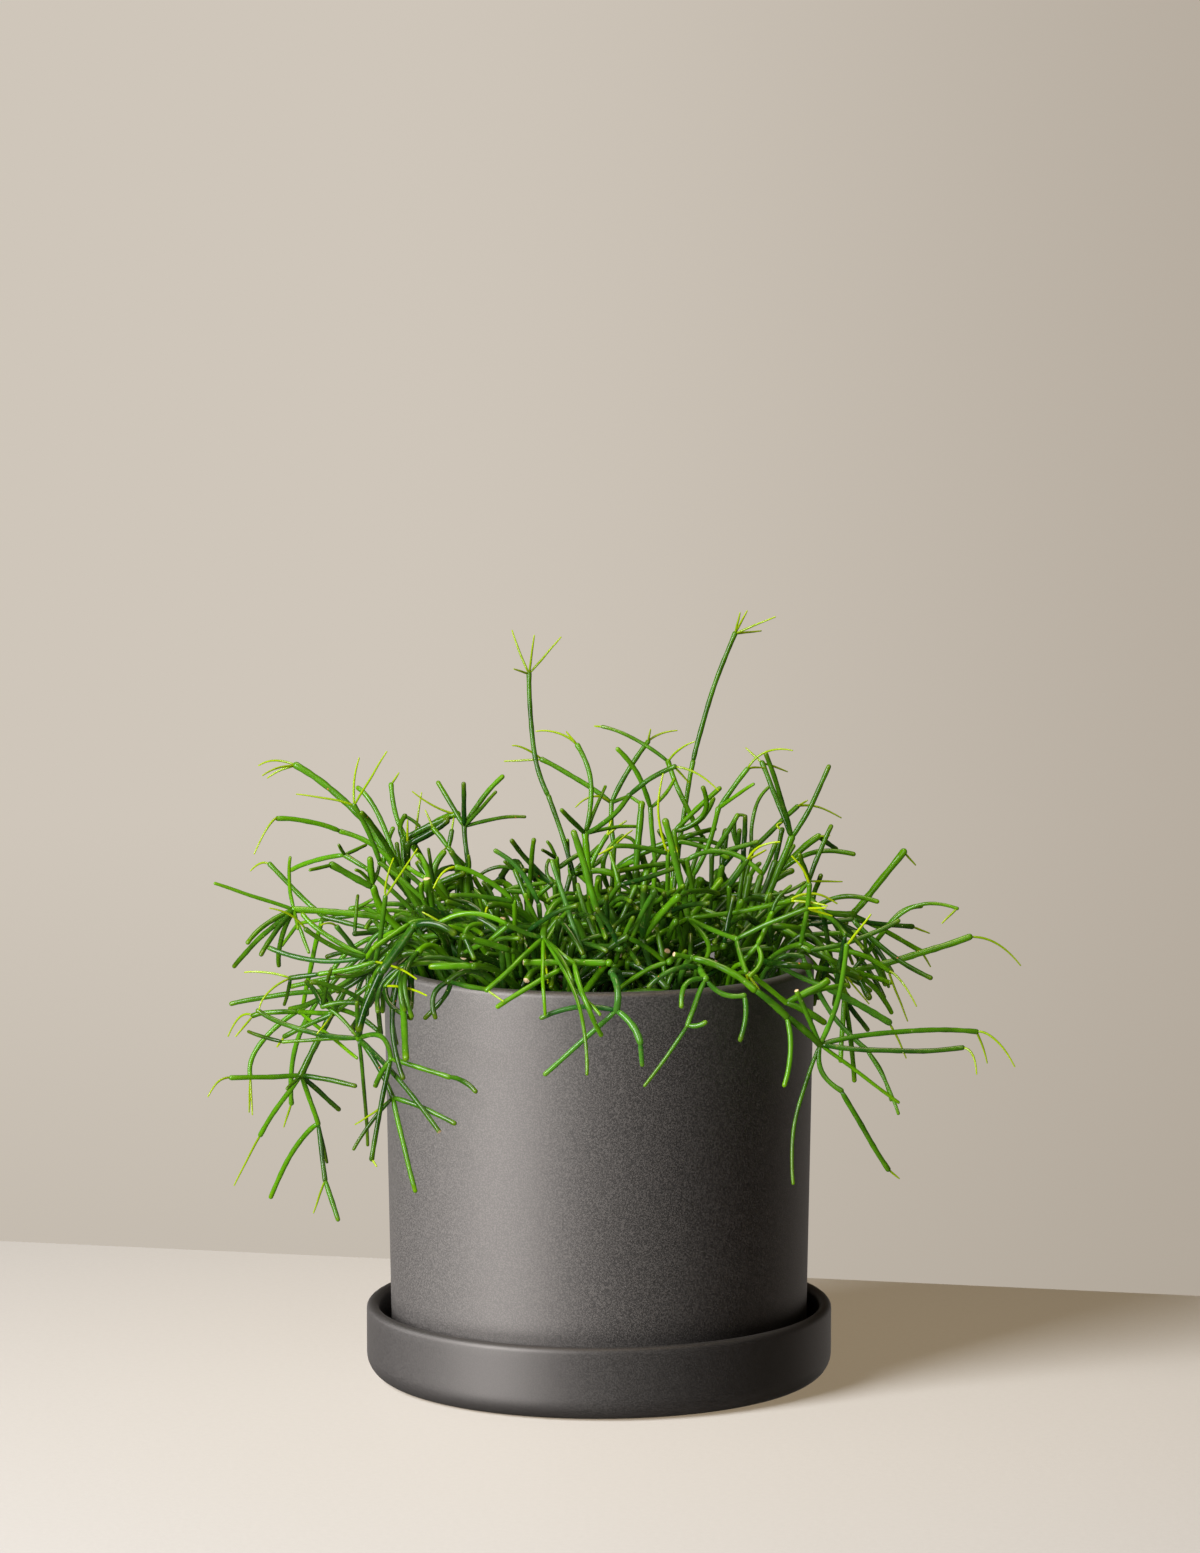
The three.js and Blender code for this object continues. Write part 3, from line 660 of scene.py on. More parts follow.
# Stems seen in and between the clumps, each group on a foot of its own, as in STEM_TABLE.
INNER_TABLE = """
inner_1 -20 12
 old -20 182 4
  mid -17.5 197.5 0 -18 190
   mid -34.7 215.7 -6 -26.8 206
   mid -30 203.8 -2 -25 202.3
   slim -20 208 4 -20.8 203
inner_2 -28 2
 old -28 190 2
  mid -26 216 -8 -27.3 204
  mid -33.5 204 10
   slim -47.5 202 12 -40.5 205.2
   slim -37.6 207.3 8
inner_3 -18 31
 old -15 188 20
  mid -16.5 204.5 14
   mid -8.5 210 18 -12.5 207.5
   mid -17 208.5 12
    slim -22.5 212 6 -20 210.6
   slim -20.5 215.3 10 -18 211
  mid -11.5 201.5 24
   mid 0 213.5 26 -5 208.4
   mid 1.5 209 30 -4 204.6
   slim -12.5 216 22 -12 208
   mid -2.5 203.8 20 -7 203.8
  mid -24.5 193.5 12
   mid -17 199.4 10 -21 196.6
inner_4 -32 26
 old -38.5 186 22 -35 178
  mid -38 195.8 20
   mid -21.5 198.8 24 -30 197.6
   mid -24 195 18 -31 195.2
inner_5 -13 -4
 old -6 184 0
  mid -9 194.4 -2 -8 190
   slim -20.5 191.6 -8 -15 194.3
inner_6 -54 10
 old -52 186 8
  old -53 201 6 -52.5 193
   mid -59 211 4 -56 206.5
   slim -52 209.6 2 -51.7 205
  old -56.5 190 12
   mid -56.7 203 14
   mid -61.5 195.5 10
    mid -56.5 198.8 6 -60.5 198
inner_7 -42 16
 old -41 188 14
  mid -49.8 201 12 -46.5 195.3
  mid -46 198.7 16 -42.7 193.5
inner_8 -50 -12
 old -46 186 -12 -50 176
  mid -64 192.3 -10 -54 191.2
  slim -48 193 -14
inner_10 -16 -16
 old -23 179 -26 -20 168
  old -44 189.5 -38 -33.5 188.6
   gold -45.3 182 -44 -45.2 187
  old -36.5 188.3 -30 -29.5 184
  mid -29.3 193.8 -30 -26.8 187.5
  mid -12 173 -30 -16 177.5
inner_12 -28 -34
 old -33 168.5 -38
  mid -44.3 170.2 -44 -39 169.4
   mid -48.5 165.3 -48
  mid -51 163.8 -50 -41.5 166.9
inner_13 -12 -44
 cut -29 159.4 -70 -21 162.5
 cut -24 166.5 -40
inner_14 -36 -18
 old -36 171 -22
  cut -39.5 175.6 -52
 cut -38.6 184.3 -30
inner_15 -48 -34
 cut -54 168.8 -44 -52 162
 cut -51.3 165.9 -52
inner_16 14 30
 old 16 190 28
  mid 17 202.5 26
   mid 28.5 206.4 22
  old 13 199 30
   old 10.8 205.6 24
  mid 4 196 32
   mid 9.3 217.6 36 2 208
inner_17 30 22
 old 29.5 200 20
  mid 30 215.5 16
   mid 47.5 214.4 14 39 216.4
   mid 46 220.5 22 38 218.6
 old 36.8 184 16
  mid 36.5 200.5 14
   mid 33.4 207.2 10
  mid 36.2 195 4 38 189
inner_18 48 14
 old 47 186.3 10
  old 56 192.5 14 51.5 189.8
   mid 62 196.5 18
 old 56 180 16
  mid 64 193 22
   old 76.8 203.6 26 70 199.8
   mid 77.5 213.6 30 71 203
inner_19 22 -22
 old 22 176.8 -30
  mid 9.5 180 -36 15 178.8
 mid 29 173.3 -36
  mid 23 175.2 -42
inner_20 18 -36
 old 13.2 174.6 -44
  cut 7.8 169.8 -60
 cut 27.3 171.3 -58
 cut 47 166.4 -52
inner_21 58 -6
 old 66 180.8 -16 62 172
  old 81.5 175 -24 74 179.6
   mid 99.5 163.5 -30 90 169.5
  old 84 178 -6 76 181
   mid 102.5 178.8 -8
   mid 94.5 173.6 -2
inner_22 54 -26
 old 64 167.3 -44
  old 84 165 -50 74 166
   mid 104.5 160.3 -44 94 163.4
 old 62.5 160.6 -62
inner_23 64 8
 old 85 190 14 76 184
  mid 88.5 201.7 10 86.3 195.5
  slim 96.3 178.4 -4 94 184
 old 82 172 0
  old 103.5 161.5 -10 92 168
   old 108 152.6 -16 105.5 157.5
  mid 113 164.6 -4 100 171.5
inner_24 -52 22
 old -84 180 22 -72 184
  mid -99 188.3 24 -91 187.8
   slim -90.8 192 20 -94.5 189.9
  mid -90.5 198 18 -88.5 190
   old -91.3 208.3 16
   slim -97 204 12 -94 202.3
   slim -87 208.5 22 -88.4 203
inner_25 -60 -2
 old -84 179 2 -74 182
  mid -97.5 178.3 -4 -91 178.7
   slim -96.3 193.6 4 -97.2 185
inner_26 -44 -22
 old -66 184 -22
  cut -68.8 200.4 -26
  mid -70.9 198.2 -30 -70 192
  mid -69.4 201 -14
   mid -76 205 -10 -72.6 202.6
  mid -72.3 210 -20 -68.5 203.5
inner_27 -38 -40
 old -73 182 -40 -64 178
  old -85 166.8 -52 -79.3 175
  mid -85.3 175.2 -46 -81 178.4
inner_28 -60 14
 mid -87 179.5 8 -80 182
  mid -93 180.8 10 -90 183.6
inner_29 -50 -46
 old -72 171 -58 -62 170
  mid -75 145 -74 -77.5 161
  mid -77.8 147.5 -70 -79 160
inner_30 -62 -22
 old -84 172 -26 -74 174
  old -88 160 -30 -87.3 167
   cut -89.4 150.4 -34
   mid -86.6 147 -28 -86.6 153
   mid -84.4 152 -38
  mid -97.5 151 -26 -93.5 162
inner_31 -56 -32
 old -84 170.5 -38 -72 173
  mid -105 161.6 -40 -94 162.6
  mid -104.5 155 -34 -95 160.5
inner_32 10 15
 old 7 204.7 16
  old 30 215.6 10 18 211.3
   mid 51.3 209 8 41.5 213.4
  mid 14.9 208 12
   slim 8.6 217.5 10 14 215.3
inner_33 0 14
 old -4 203.4 18
  old 6.3 202 16 1 203.6
  mid 3 217.5 22 -1.2 210.2
   gold 5.6 226.3 24
   gold 10.8 223.7 20 6.4 220.6
inner_34 10 5
 old 7 186 4
  old 4.6 196 2
  mid -0.5 199.6 0 0.2 193
 old 19 203.3 18
  old 17.3 209.4 18
  mid 26.7 215.6 22 23 209
   mid 24 219.6 22
inner_35 40 6
 old 42 192 4
  old 58 207.6 8 51.3 198.2
  old 48.3 200 0
 old 49 205 18
  old 50.5 219.6 22
  mid 55.3 213 20
   mid 53.2 220.8 22
   mid 56 219.8 18
   slim 57.6 226 20 54.2 223.6
inner_36 50 -6
 old 60 201 2
  mid 64 206.5 0 62 204.4
 old 64.4 201 12
  mid 70.2 214.2 14 67.4 207.2
 old 70.2 207 20
  mid 73 220.2 20 71.6 213.5
   gold 72.7 223 22 71 221.8
 mid 67.6 194 -4
  slim 82 199 0 75 195.2
inner_37 -47 29
 old -76.5 195 28
  old -78 216 30
   old -60.6 224.8 34 -69.5 220.8
   mid -77.4 225.6 36 -79.2 221.3
    slim -71.7 221.8 36 -74.8 224.3
  old -76.4 214.2 27
   old -60.8 223.7 26 -66.5 219.4
   gold -76.3 224 26
 old -79 200 22
  mid -80.6 214.4 24
 mid -85.8 206 26
  mid -82.2 220.6 28 -85 212.8
inner_38 -44 4
 old -56.5 205 10
  mid -60 212.8 12 -57.8 209.8
   mid -58.7 219.6 14
    young -57.9 224.9 16
   mid -66 220.6 16 -62.8 216.8
    young -69.2 228 18
   young -62.6 211.4 20 -61 212.8
 old -52.8 205 14
  mid -59.3 211.6 14 -56.6 208.8
 old -63.6 199 4
  old -54.4 202.4 2
 mid -70.6 203 10
  slim -72.8 206.8 8
inner_39 -30 -52
 mid -76.5 166.5 -58 -52 166
  old -75.4 148.5 -80 -75.2 158
  mid -81.2 134 -74 -82.5 152
  mid -88.5 147 -64 -86.5 158
inner_40 -60 -12
 stout -73.8 181.5 -70 -62 176.5
  stout -86.5 163.5 -78 -79.5 173.5
   stout -96 140 -80 -92 152
  old -58 178.5 -76 -66 182.5
"""


@dataclass
class Curve:
    """A quadratic curve from a to b, with the number of straight spans that the frame gives it."""
    a: np.ndarray
    control: np.ndarray
    b: np.ndarray
    spans: int

    def points(self, steps):
        t = np.linspace(0, 1, steps + 1)[:, None]
        return (1 - t) ** 2 * self.a + 2 * t * (1 - t) * self.control + t ** 2 * self.b

    def length(self):
        return distance(self.a, self.control) + distance(self.control, self.b)


@dataclass(eq=False)
class Stem:
    clump: "Clump"
    age: str
    level: int
    parent: "Stem" = None
    target: tuple = ()
    rule: dict = field(default_factory=dict)
    curve: Curve = None
    bears: int = 0


@dataclass(eq=False)
class Clump:
    name: str
    foot: tuple
    stems: list = field(default_factory=list)

    def add(self, age, parent=None, target=(), **rule):
        stem = Stem(self, age, parent.level + 1 if parent else 1, parent, target, rule)
        self.stems.append(stem)
        return stem

    def crown_top(self):
        return np.array([*self.foot, SOIL_TOP + CROWN_HEIGHT])


def distance(a, b):
    return math.sqrt(float(((b - a) ** 2).sum()))


def sighted(x, z, y):
    """The point at depth y that is seen from EYE at x, z on the plane y = 0."""
    scale = (y - EYE[1]) / -EYE[1]
    return np.array([EYE[0] + (x - EYE[0]) * scale, y, EYE[2] + (z - EYE[2]) * scale])


def bent_curve(a, through, b):
    sag = distance(through, (a + b) / 2)
    return Curve(a, 2 * through - (a + b) / 2, b, 1 + sum(sag > limit for limit in SPAN_SAGS))


def straight_curve(a, b):
    return Curve(a, (a + b) / 2, b, 1)


def table_lines(text):
    """The indent, the first word and the numbers of each line."""
    for line in text.strip().split("\n"):
        word, *numbers = line.split()
        yield len(line) - len(line.lstrip()), word, tuple(map(float, numbers))


def read_table(text):
    clumps = []
    for indent, word, numbers in table_lines(text):
        if indent == 0:
            clumps.append(Clump(word, numbers))
            above = [None]
        else:
            above[indent:] = [clumps[-1].add(word, above[indent - 1], numbers)]
    return clumps


def read_extras(text, clumps):
    """The finer stems. A line without an indent names the clump and the stem end they grow on."""
    named = {clump.name: clump for clump in clumps}
    extras = []
    for indent, word, numbers in table_lines(text):
        if indent == 0:
            above = [next(stem for stem in named[word].stems if stem.target[:2] == numbers)]
        else:
            base = above[indent - 1]
            extras.append(base.clump.add(word, base, numbers))
            above[indent:] = extras[-1:]
    return extras


# ---------------------------------------------------------------- where a stem may grow


def pot_radius_at(z):
    flare = (POT_RIM_RADIUS - POT_FOOT_RADIUS) * (z - POT_FOOT) / (POT_RIM - POT_FOOT)
    return POT_FOOT_RADIUS + flare


def touches_pot(points, reach):
    """Whether any point is too near the pot, its rim or the soil."""
    radius = np.hypot(points[:, 0], points[:, 1])
    outer = pot_radius_at(points[:, 2])
    near = (points[:, 2] <= POT_RIM + reach) & (radius <= outer + reach)
    inside = (radius > outer - POT_WALL - reach) | (points[:, 2] < SOIL_TOP + reach)
    return bool((near & inside).any())


NEARLY_PARALLEL = 1e-9


def segment_distances(p, q, u, v):
    """Shortest distances between the segment p-q and each segment u-v."""
    d1, d2, r = q - p, v - u, p - u
    a, e = d1 @ d1, (d2 * d2).sum(1)
    f, c, b = (d2 * r).sum(1), r @ d1, d2 @ d1
    denominator = a * e - b * b
    crossing = denominator > NEARLY_PARALLEL
    s = np.where(crossing, (b * f - c * e) / np.where(crossing, denominator, 1), 0).clip(0, 1)
    t = (b * s + f) / e
    past = (t < 0) | (t > 1)
    t = t.clip(0, 1)
    s = np.where(past, ((b * t - c) / a).clip(0, 1), s)
    gap = r + d1 * s[:, None] - d2 * t[:, None]
    return np.sqrt((gap * gap).sum(1))


class Grown:
    """The stems placed so far, as straight pieces with a radius and the clump they belong to."""

    def __init__(self, room=20000):
        self.count = 0
        self.p, self.q = np.zeros((room, 3)), np.zeros((room, 3))
        self.radius, self.clump = np.zeros(room), np.zeros(room, int)

    def keep(self, curve, radius, clump):
        points = curve.points(curve.spans)
        for p, q in zip(points, points[1:]):
            self.p[self.count], self.q[self.count] = p, q
            self.radius[self.count], self.clump[self.count] = radius, id(clump)
            self.count += 1

    def is_clear(self, curve, radius, clump, gap):
        """Whether a curve is clear of the pot, and its straight spans of the other clumps' spans.

        The smooth curve strays from its spans, so a fine stem may still graze another clump.
        """
        reach = radius * FACET_SCALE + gap
        if touches_pot(curve.points(math.ceil(curve.length() / CHECK_STEP))[1:], reach):
            return False
        n = self.count
        points = curve.points(curve.spans)
        for p, q in zip(points, points[1:]):
            apart = reach + self.radius[:n] * FACET_SCALE
            middles = (self.p[:n] + self.q[:n] - p - q) / 2
            halves = np.sqrt(((self.q[:n] - self.p[:n]) ** 2).sum(1)) / 2 + distance(p, q) / 2
            near = (self.clump[:n] != id(clump)) & ((middles ** 2).sum(1) <= (halves + apart) ** 2)
            if near.any():
                gaps = segment_distances(p, q, self.p[:n][near], self.q[:n][near])
                if (gaps < apart[near]).any():
                    return False
        return True


grown = Grown()


def plant_crowns(clumps):
    """Keeps each clump's woody foot, which isn't tested against the others."""
    for clump in clumps:
        buried = np.array([*clump.foot, SOIL_TOP - SOIL_HOLE_DEPTH])
        grown.keep(straight_curve(buried, clump.crown_top()), CROWN_RADIUS, clump)


def grow(stems, courses, gap=STEM_CLEARANCE):
    """Grows the stems level by level, each on the first of its courses that is clear.

    A stem with no clear course is left out, with all that would grow from it.
    """
    for stem in sorted(stems, key=lambda stem: stem.level):
        if stem.parent and not stem.parent.curve:
            continue
        start = stem.parent.curve.b if stem.parent else stem.clump.crown_top()
        radius = AGES[stem.age].radius
        for curve in courses(stem, start):
            if grown.is_clear(curve, radius, stem.clump, gap):
                stem.curve = curve
                grown.keep(curve, radius, stem.clump)
                if stem.parent:
                    stem.parent.bears += 1
                break


# A stem of the table keeps its sighted line. Only its depth moves, by the least that clears it.
DEPTH_STEP = 1.5
DEPTH_STEPS = 22
BOWS = (0, 4, -4, 8, -8)


def sighted_courses(stem, start):
    x, z, y, *bend = stem.target
    for step in range(DEPTH_STEPS):
        shift = DEPTH_STEP * math.ceil(step / 2) * (1 if step % 2 else -1)
        end = sighted(x, z, y + shift)
        for bow in BOWS:
            middle = (start + end) / 2
            depth = middle[1] + bow
            if bend:
                yield bent_curve(start, sighted(*bend, depth), end)
            elif bow == 0:
                yield straight_curve(start, end)
            else:
                ratio = (depth - EYE[1]) / (middle[1] - EYE[1])
                yield bent_curve(start, EYE + (middle - EYE) * ratio, end)


# ---------------------------------------------------------------- stems that grow by rule

# The clumps behind the table's ones grow first out to a place given by an azimuth, a radius and
# a height, then in whorls whose directions are drawn, and drawn again where they would cross
# another clump. They stay behind the table's stems, as sighted from EYE. Each bow is a stem's age,
# and the radius and height of the places that it passes over and grows to.
TRAILS = {
    "count": 7,
    "first_azimuth": 42,
    "azimuth_step": 16,
    "foot_radii": (46, 58),
    "bows": [[("old", (66, 188), (97, 181)), ("mid", (106, 172), (108, 152))]],
    "whorl": {"length": (32, 46), "spread": 0.75, "lean": 0.1, "droop": 0.9},
    "tip": {"length": (24, 36), "spread": 0.5, "lean": 0, "droop": 0.9},
}
DOMES = {
    "count": 5,
    "first_azimuth": 24,
    "azimuth_step": 33,
    "foot_radii": (18, 30, 38),
    "bows": [[("old", (34.8, 172), (58, 184))], [("old", (43.2, 172), (72, 184))]],
    "whorl": {"length": (30, 44), "spread": 0.8, "lean": 0.5, "droop": 0.1},
    "tip": {"length": (22, 34), "spread": 0.6, "lean": 0.2, "droop": 0.2},
}
WHORL_COUNT, TIP_COUNT = 3, 2
DRAWS = 60
SHAKE_MOST = 14  # how far a given place may be moved to clear the other clumps
ONWARD = 0.5  # how much a drawn stem keeps its parent's direction
RISE = 0.07  # how far it arches up half way, as a share of its length
HIDDEN_HALF_WIDTH = 80
HIDDEN_TOP = 206
HIDDEN_TOP_FALL = 22  # how much lower that top is at the half width
UP = np.array([0, 0, 1])


class Draw:
    """A plain seeded generator, so that the frame and this script draw the same numbers."""

    def __init__(self, seed):
        self.state = seed

    def between(self, low, high):
        self.state = (self.state * 1664525 + 1013904223) & 0xFFFFFFFF
        return low + (high - low) * self.state / 2 ** 32

    def vector(self):
        return np.array([self.between(-1, 1) for _ in range(3)])


draw = Draw(7)


def polar(azimuth, radius, z):
    angle = azimuth * math.pi / 180
    return np.array([radius * math.cos(angle), radius * math.sin(angle), z])


def normalized(v):
    return v / math.sqrt(float((v * v).sum()))


def seen_at(point):
    """Where a point is sighted, on the plane y = 0."""
    scale = -EYE[1] / (point[1] - EYE[1])
    return EYE[0] + (point[0] - EYE[0]) * scale, EYE[2] + (point[2] - EYE[2]) * scale


def is_hidden(point):
    x, z = seen_at(point)
    across = abs(x) / HIDDEN_HALF_WIDTH
    return across < 1 and z < HIDDEN_TOP - HIDDEN_TOP_FALL * across ** 2


def drawn_courses(stem, start):
    rule = stem.rule
    allowed = rule.get("allowed", is_hidden)
    for turn in range(DRAWS):
        if "to" in rule:
            shake = min(SHAKE_MOST, turn)
            end = rule["to"] + (draw.vector() * shake if turn else 0)
            yield bent_curve(start, rule["over"] + (draw.vector() * shake / 2 if turn else 0), end)
            continue
        onward = normalized(start - stem.parent.curve.control) if stem.parent else UP
        outward = normalized(np.array([start[0], start[1], 0]))
        across = normalized(draw.vector())
        heading = onward * ONWARD + outward * rule["lean"] + across * rule["spread"]
        heading[2] -= rule["droop"]
        length = draw.between(*rule["length"])
        end = start + normalized(heading) * length
        through = (start + end) / 2
        through[2] += length * RISE
        if allowed(end) and allowed(through):
            yield bent_curve(start, through, end)


def in_turn(values, i):
    return values[i % len(values)]


def rooted(name, azimuth, radius):
    return Clump(name, tuple(polar(azimuth, radius, 0)[:2]))


def add_bow(clump, parent, azimuth, age, over, to):
    return clump.add(age, parent, over=polar(azimuth, *over), to=polar(azimuth, *to))


def back_clump(name, kind, i):
    azimuth = kind["first_azimuth"] + kind["azimuth_step"] * i
    clump = rooted(f"back_{name}_{i + 1}", azimuth, in_turn(kind["foot_radii"], i))
    end = None
    for bow in in_turn(kind["bows"], i):
        end = add_bow(clump, end, azimuth, *bow)
    whorl = [clump.add("mid", end, **kind["whorl"]) for _ in range(WHORL_COUNT)]
    for stem in whorl[:TIP_COUNT]:
        clump.add("slim", stem, **kind["tip"])
    return clump


# The stems that only this script adds. The mound is the dense middle of the plant, the sides arch
# over the rim to the left and right, and the skirt hangs over the back of the rim between the
# frame's trails. Rows of drawn stems grow each from every stem of the row before it. A row is the
# stems' ages, then their length, spread, lean and droop. A rim bow passes over the rim at the
# first radius, lifted a little, and ends at the second. The feet are placed by rule and aren't
# tested, so one that stands too close to another clump's may bear no stems.
GOLDEN_ANGLE = 137.508
MOUND_CLUMPS = 46
MOUND_RADIUS = 72
MOUND_ROWS = (
    (("old",) * 2, (20, 36), 0.8, 0.25, -0.3),
    (("old",) * 3, (18, 36), 1.1, 0.3, 0),
    (("mid",), (16, 32), 1.1, 0.2, -0.1),
)
SIDE_CLUMPS = 16
SIDE_AZIMUTHS = (180, 0)  # the middles of the two sides
SIDE_STEP = 11  # degrees from clump to clump
SIDES = {
    "foot_radii": (56, 66, 48),
    "heights": (172, 181, 190),
    "rim_bow": (74, 92),
    "lift": 2,
    "rows": (
        (("mid",) * 3, (18, 34), 0.9, 0.4, 0.3),
        (("mid", "slim"), (16, 30), 0.9, 0.3, 0.3),
    ),
}
SKIRT_CLUMPS = 12
SKIRT_AZIMUTH, SKIRT_STEP = 34, 10.2
SKIRT = {
    "foot_radii": (62, 50, 68),
    "heights": (176, 183, 190),
    "rim_bow": (72, 93),
    "lift": 4,
    "rows": (
        (("mid",) * 2, (22, 36), 0.6, 0.3, 0.8),
        (("mid",) * 3, (22, 38), 0.7, 0.1, 0.8),
        (("slim",), (14, 26), 0.6, 0, 0.8),
    ),
}
FRONT_RADIUS, FRONT_END = 77, 30  # over the front is past that radius, before that y
MOUND_EDGE = 108
MOUND_LOWEST = 3  # over the soil
SIDE_DEPTH = 70  # the most, to the front and to the back
SIDE_INSET = 2  # inside the rim
SKIRT_FRONT, SKIRT_EDGE, SKIRT_LOWEST = 10, 126, 92  # its least y, widest radius and least z

# The outline of the dense mass, as points (x, z) sighted from EYE.
MASS_TOP = ((-124, 172), (-116, 188), (-100, 192), (-85, 196), (-62, 194), (-48, 186), (-36, 181),
            (-22, 185), (-6, 194), (14, 197), (40, 200), (62, 200), (82, 191), (98, 186),
            (114, 182), (122, 170))
MASS_BOTTOM = ((-124, 168), (-110, 148), (-100, 138), (-88, 128), (-80, SOIL_TOP), (80, SOIL_TOP),
               (90, 146), (102, 140), (114, 150), (122, 166))


def in_mass(point):
    x, z = seen_at(point)
    if not MASS_TOP[0][0] < x < MASS_TOP[-1][0]:
        return False
    return np.interp(x, *zip(*MASS_BOTTOM)) < z < np.interp(x, *zip(*MASS_TOP))


def is_over_front(x, y):
    return math.hypot(x, y) > FRONT_RADIUS and y < FRONT_END


def in_mound(point):
    x, y, z = point
    if math.hypot(x, y) > MOUND_EDGE or z < SOIL_TOP + MOUND_LOWEST or is_over_front(x, y):
        return False
    return in_mass(point)


def in_side(point):
    """Over the pot or beside it, but not hanging in front of it."""
    x, y, _ = point
    if is_over_front(x, y) and abs(x) < POT_RIM_RADIUS - SIDE_INSET:
        return False
    return in_mass(point) and abs(y) < SIDE_DEPTH


def in_skirt(point):
    x, y, z = point
    inside = y > SKIRT_FRONT and z > SKIRT_LOWEST and math.hypot(x, y) < SKIRT_EDGE
    return inside and is_hidden(point)


def add_rows(clump, parent, allowed, rows):
    if rows:
        ages, length, spread, lean, droop = rows[0]
        for age in ages:
            stem = clump.add(age, parent, length=length, spread=spread, lean=lean, droop=droop,
                             allowed=allowed)
            add_rows(clump, stem, allowed, rows[1:])


def mound_clump(i):
    """Thick stems low in the pot, and thinner ones over them."""
    radius = MOUND_RADIUS * math.sqrt((i + 0.5) / MOUND_CLUMPS)
    clump = rooted(f"mound_{i + 1}", GOLDEN_ANGLE * i, radius)
    add_rows(clump, None, in_mound, MOUND_ROWS)
    return clump


def rim_clump(name, azimuth, kind, place, allowed):
    clump = rooted(name, azimuth, in_turn(kind["foot_radii"], place))
    height, (over, to) = in_turn(kind["heights"], place), kind["rim_bow"]
    arch = add_bow(clump, None, azimuth, "old", (over, height + kind["lift"]), (to, height))
    add_rows(clump, arch, allowed, kind["rows"])
    return clump


def side_clump(i):
    place = i // 2
    off_middle = (place - (SIDE_CLUMPS // 2 - 1) / 2) * SIDE_STEP * (-1) ** i
    azimuth = in_turn(SIDE_AZIMUTHS, i) + off_middle
    return rim_clump(f"side_{i + 1}", azimuth, SIDES, place, in_side)


def skirt_clump(i):
    return rim_clump(f"skirt_{i + 1}", SKIRT_AZIMUTH + SKIRT_STEP * i, SKIRT, i, in_skirt)


# ---------------------------------------------------------------- fine stems


def circle_of(count):
    """The angles of points spaced evenly round a circle."""
    return 2 * math.pi * np.arange(count) / count


class Shell:
    """Gathers rings of vertices, their faces and their marks, and makes one mesh of them."""

    def __init__(self):
        self.points, self.faces, self.marks, self.count = [], [], {}, 0

    def add(self, points, faces, **marks):
        faces = [[corner + self.count for corner in face] for face in faces]
        self.points.append(np.asarray(points, float))
        self.faces += faces
        for name, value in marks.items():
            self.marks.setdefault(name, []).append(np.broadcast_to(value, len(points)))
        self.count += len(points)

    def add_rings(self, rings, **marks):
        """Rings of equal size, closed by a middle point at both ends."""
        count, sides, _ = rings.shape
        first, last = rings[0].mean(0), rings[-1].mean(0)
        points = np.concatenate([rings.reshape(-1, 3), [first, last]])
        near, far = count * sides, count * sides + 1
        faces = []
        for j in range(sides):
            k = (j + 1) % sides
            faces.append((near, k, j))
            faces.append((far, (count - 1) * sides + j, (count - 1) * sides + k))
            for i in range(0, (count - 1) * sides, sides):
                faces.append((i + j, i + k, i + sides + k, i + sides + j))
        per_point = {
            name: np.concatenate([np.repeat(value, sides), [value[0], value[-1]]])
            if np.ndim(value) else value
            for name, value in marks.items()
        }
        self.add(points, faces, **per_point)

    def make(self, name, material):
        mesh = bpy.data.meshes.new(name)
        mesh.from_pydata(np.concatenate(self.points) * MM, [], self.faces)
        for mark, values in self.marks.items():
            attribute = mesh.attributes.new(mark, "FLOAT", "POINT")
            attribute.data.foreach_set("value", np.concatenate(values).astype(np.float32))
        mesh.shade_smooth()
        mesh.materials.append(material)
        piece = bpy.data.objects.new(name, mesh)
        bpy.context.scene.collection.objects.link(piece)
        return piece


STEEP = 0.9  # the upward part of a unit tangent, from which a stem starts upright


def frames_along(points):
    """Unit tangents, and two unit vectors across that turn as little as they can."""
    tangents = np.gradient(points, axis=0)
    tangents /= np.linalg.norm(tangents, axis=1)[:, None]
    side = np.cross(tangents[0], (0, 0, 1) if abs(tangents[0][2]) < STEEP else (1, 0, 0))
    sides = []
    for tangent in tangents:
        side = side - tangent * (side @ tangent)
        side = side / np.linalg.norm(side)
        sides.append(side)
    sides = np.array(sides)
    return tangents, sides, np.cross(tangents, sides)


RING_STEP = 2.6  # along a stem
FEWEST_STEPS = 7
CAP_RINGS = 3
CAP_POINT = 0.08  # the least radius of a tip's last ring, as a share
WAVER = 0.004  # how far a stem strays from its curve, as a share of its length
WAVER_MOST = 0.3
WAVER_TURNS = (0.6, 1.6)
KNOB_PITCHES = ((9, 14), (4, 6))  # of the two waves in a stem's width
KNOB_SHARE = 1.5  # each wave is the stem's knob divided by this
FOOT_WAIST, FOOT_REACH = 0.3, 1.4  # the narrow foot, as a share, and how far along it is felt
JOINT_SWELL, JOINT_REACH = 0.14, 2  # the same for the end of a stem that bears others
TIP_YOUTH = 0.18  # the least youth of a tip that bears no others
CUT_BULGE = 0.3  # how far a cut end stands out, as a share of the radius
CORK = 0.9  # how pale a cut end is
AREOLE_STEP = (7, 17)
AREOLE_END = 1  # the bare end of a stem
AREOLE_RADIUS = 0.2  # as a share of the stem's
AREOLE_SIDES = 6
AREOLE_RINGS = ((1.2, -0.08), (1, 0.05), (0.5, 0.09))  # each ring's size and height
AREOLE_DEPTH = 0.93  # where it is set, as a share of the stem's radius
AREOLE_TURN = 0.38  # of a turn, from one to the next
